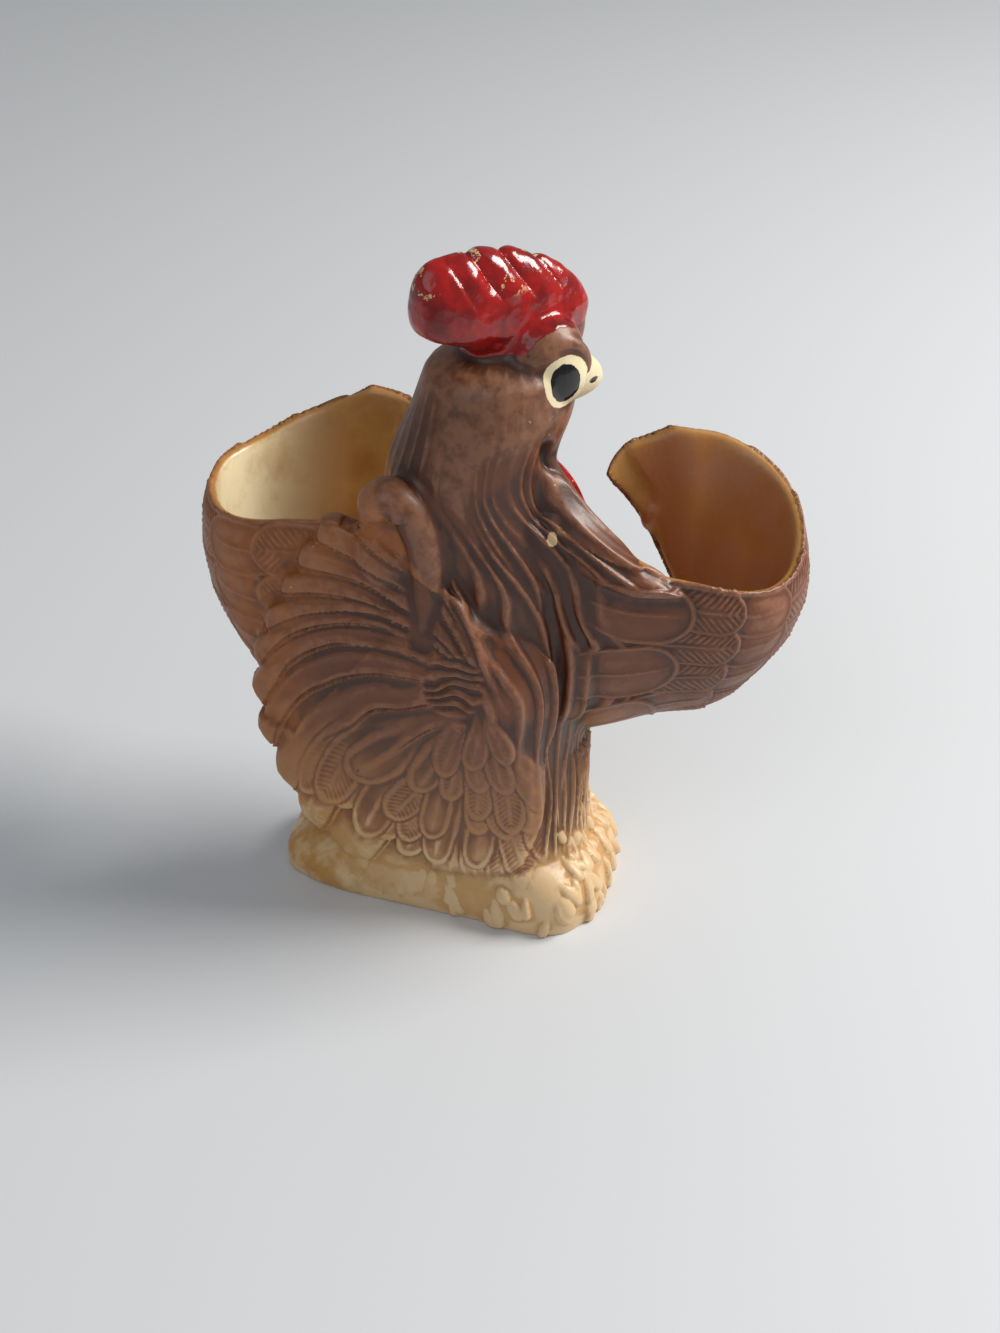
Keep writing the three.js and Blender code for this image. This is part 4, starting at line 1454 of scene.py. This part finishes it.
class ROOSTER_OT_glaze(bpy.types.Operator):
    """Paint and glaze the casting"""

    bl_idname = "rooster.glaze"
    bl_label = "Glaze"

    def execute(self, context):
        piece = bpy.data.objects["rooster_casting"]
        k, c = plain(context.scene.rooster_sizes), plain(context.scene.rooster_carving)
        places, faces, edges = arrays_from(piece.data)
        fields = paint_fields(k, c, Sheet(len(places), faces, edges), places)
        for name, values in fields.items():
            attribute = piece.data.attributes.get(name) or piece.data.attributes.new(name, "FLOAT", "POINT")
            attribute.data.foreach_set("value", values.astype(np.float32))
        piece.data.materials.clear()
        piece.data.materials.append(glaze_material(context.scene.rooster_paint))
        return {"FINISHED"}


# Half the floor's width in millimetres, and its faces each way

FLOOR_HALF, FLOOR_CELLS = 1600, 40

# How far the camera stands to its own left of the body's axis, in metres

CAMERA_ASIDE = 0.001


class ROOSTER_OT_studio(bpy.types.Operator):
    """Add the pale floor, the soft lights and the camera"""

    bl_idname = "rooster.studio"
    bl_label = "Studio"

    def execute(self, context):
        for name in ("studio_floor", "studio_key", "studio_fill", "studio_camera"):
            clear_old(name)
        setting = context.scene.rooster_studio
        line = FLOOR_CELLS + 1
        across = np.linspace(-FLOOR_HALF, FLOOR_HALF, line)
        x, y = np.meshgrid(across, across)
        cells = np.arange(FLOOR_CELLS)[:, None] * line + np.arange(FLOOR_CELLS)[None, :]
        faces = np.stack([cells, cells + 1, cells + line + 1, cells + line], axis=-1).reshape(-1, 4)
        places = spots(x, y, 0 * x).reshape(-1, 3)
        floor = bpy.data.objects.new("studio_floor", mesh_from("studio_floor", places, faces))
        context.collection.objects.link(floor)
        material = bpy.data.materials.new("pale_floor")
        material.use_nodes = True
        shader = material.node_tree.nodes["Principled BSDF"]
        shader.inputs["Base Color"].default_value = (*setting.floor, 1)
        shader.inputs["Roughness"].default_value = 0.45
        floor.data.materials.append(material)

        world = bpy.data.worlds.new("studio_air")
        world.use_nodes = True
        background = world.node_tree.nodes["Background"]
        background.inputs["Color"].default_value = (0.93, 0.96, 1.0, 1)
        background.inputs["Strength"].default_value = 0.26
        context.scene.world = world

        self.light(context, "studio_key", (-0.85, -0.25, 0.8), (0.55, 0.45), setting.key, (1.0, 0.97, 0.93))
        self.light(context, "studio_fill", (0.35, 0.9, 0.9), (0.9, 0.9), setting.fill, (0.92, 0.96, 1.0))

        camera = bpy.data.cameras.new("studio_camera")
        camera.lens = setting.lens
        camera.sensor_width = 36
        camera.clip_start = 0.01
        viewer = bpy.data.objects.new("studio_camera", camera)
        a, e = setting.azimuth, setting.elevation
        aside = Vector((cos(a), sin(a), 0)) * -CAMERA_ASIDE
        viewer.location = Vector((sin(a), -cos(a), 0)) * setting.distance + aside
        viewer.location.z = setting.camera_height
        look = Vector((-sin(a) * cos(e), cos(a) * cos(e), -sin(e)))
        viewer.rotation_euler = look.to_track_quat("-Z", "Y").to_euler()
        context.collection.objects.link(viewer)
        context.scene.camera = viewer
        context.scene.view_settings.view_transform = "Standard"
        return {"FINISHED"}

    @staticmethod
    def light(context, name, place, size, power_watts, colour):
        """One soft rectangle of light that faces the bird."""
        lamp = bpy.data.lights.new(name, "AREA")
        lamp.shape = "RECTANGLE"
        lamp.size, lamp.size_y = size
        lamp.energy = power_watts
        lamp.color = colour
        holder = bpy.data.objects.new(name, lamp)
        holder.location = place
        aim = Vector((0, 0, 0.08)) - Vector(place)
        holder.rotation_euler = aim.to_track_quat("-Z", "Y").to_euler()
        context.collection.objects.link(holder)


class ROOSTER_PT_panel(bpy.types.Panel):
    """Sizes, carving, paint and studio of the rooster"""

    bl_idname = "ROOSTER_PT_panel"
    bl_label = "Rooster"
    bl_space_type = "VIEW_3D"
    bl_region_type = "UI"
    bl_category = "Rooster"

    def draw(self, context):
        column = self.layout.column()
        for operator in (ROOSTER_OT_casting, ROOSTER_OT_glaze, ROOSTER_OT_studio):
            column.operator(operator.bl_idname)
        for group in ("rooster_sizes", "rooster_carving", "rooster_paint", "rooster_studio"):
            box = self.layout.box()
            values = getattr(context.scene, group)
            for name in values.bl_rna.properties.keys():
                if name not in {"rna_type", "name"}:
                    box.prop(values, name)


CLASSES = (
    RoosterSizes, RoosterCarving, RoosterPaint, RoosterStudio, ROOSTER_OT_casting, ROOSTER_OT_glaze,
    ROOSTER_OT_studio, ROOSTER_PT_panel,
)


def register():
    for cls in CLASSES:
        bpy.utils.register_class(cls)
    bpy.types.Scene.rooster_sizes = PointerProperty(type=RoosterSizes)
    bpy.types.Scene.rooster_carving = PointerProperty(type=RoosterCarving)
    bpy.types.Scene.rooster_paint = PointerProperty(type=RoosterPaint)
    bpy.types.Scene.rooster_studio = PointerProperty(type=RoosterStudio)


def unregister():
    for name in ("rooster_sizes", "rooster_carving", "rooster_paint", "rooster_studio"):
        delattr(bpy.types.Scene, name)
    for cls in reversed(CLASSES):
        bpy.utils.unregister_class(cls)


def main():
    register()
    bpy.ops.rooster.casting()
    bpy.ops.rooster.glaze()
    bpy.ops.rooster.studio()


if __name__ == "__main__":
    main()
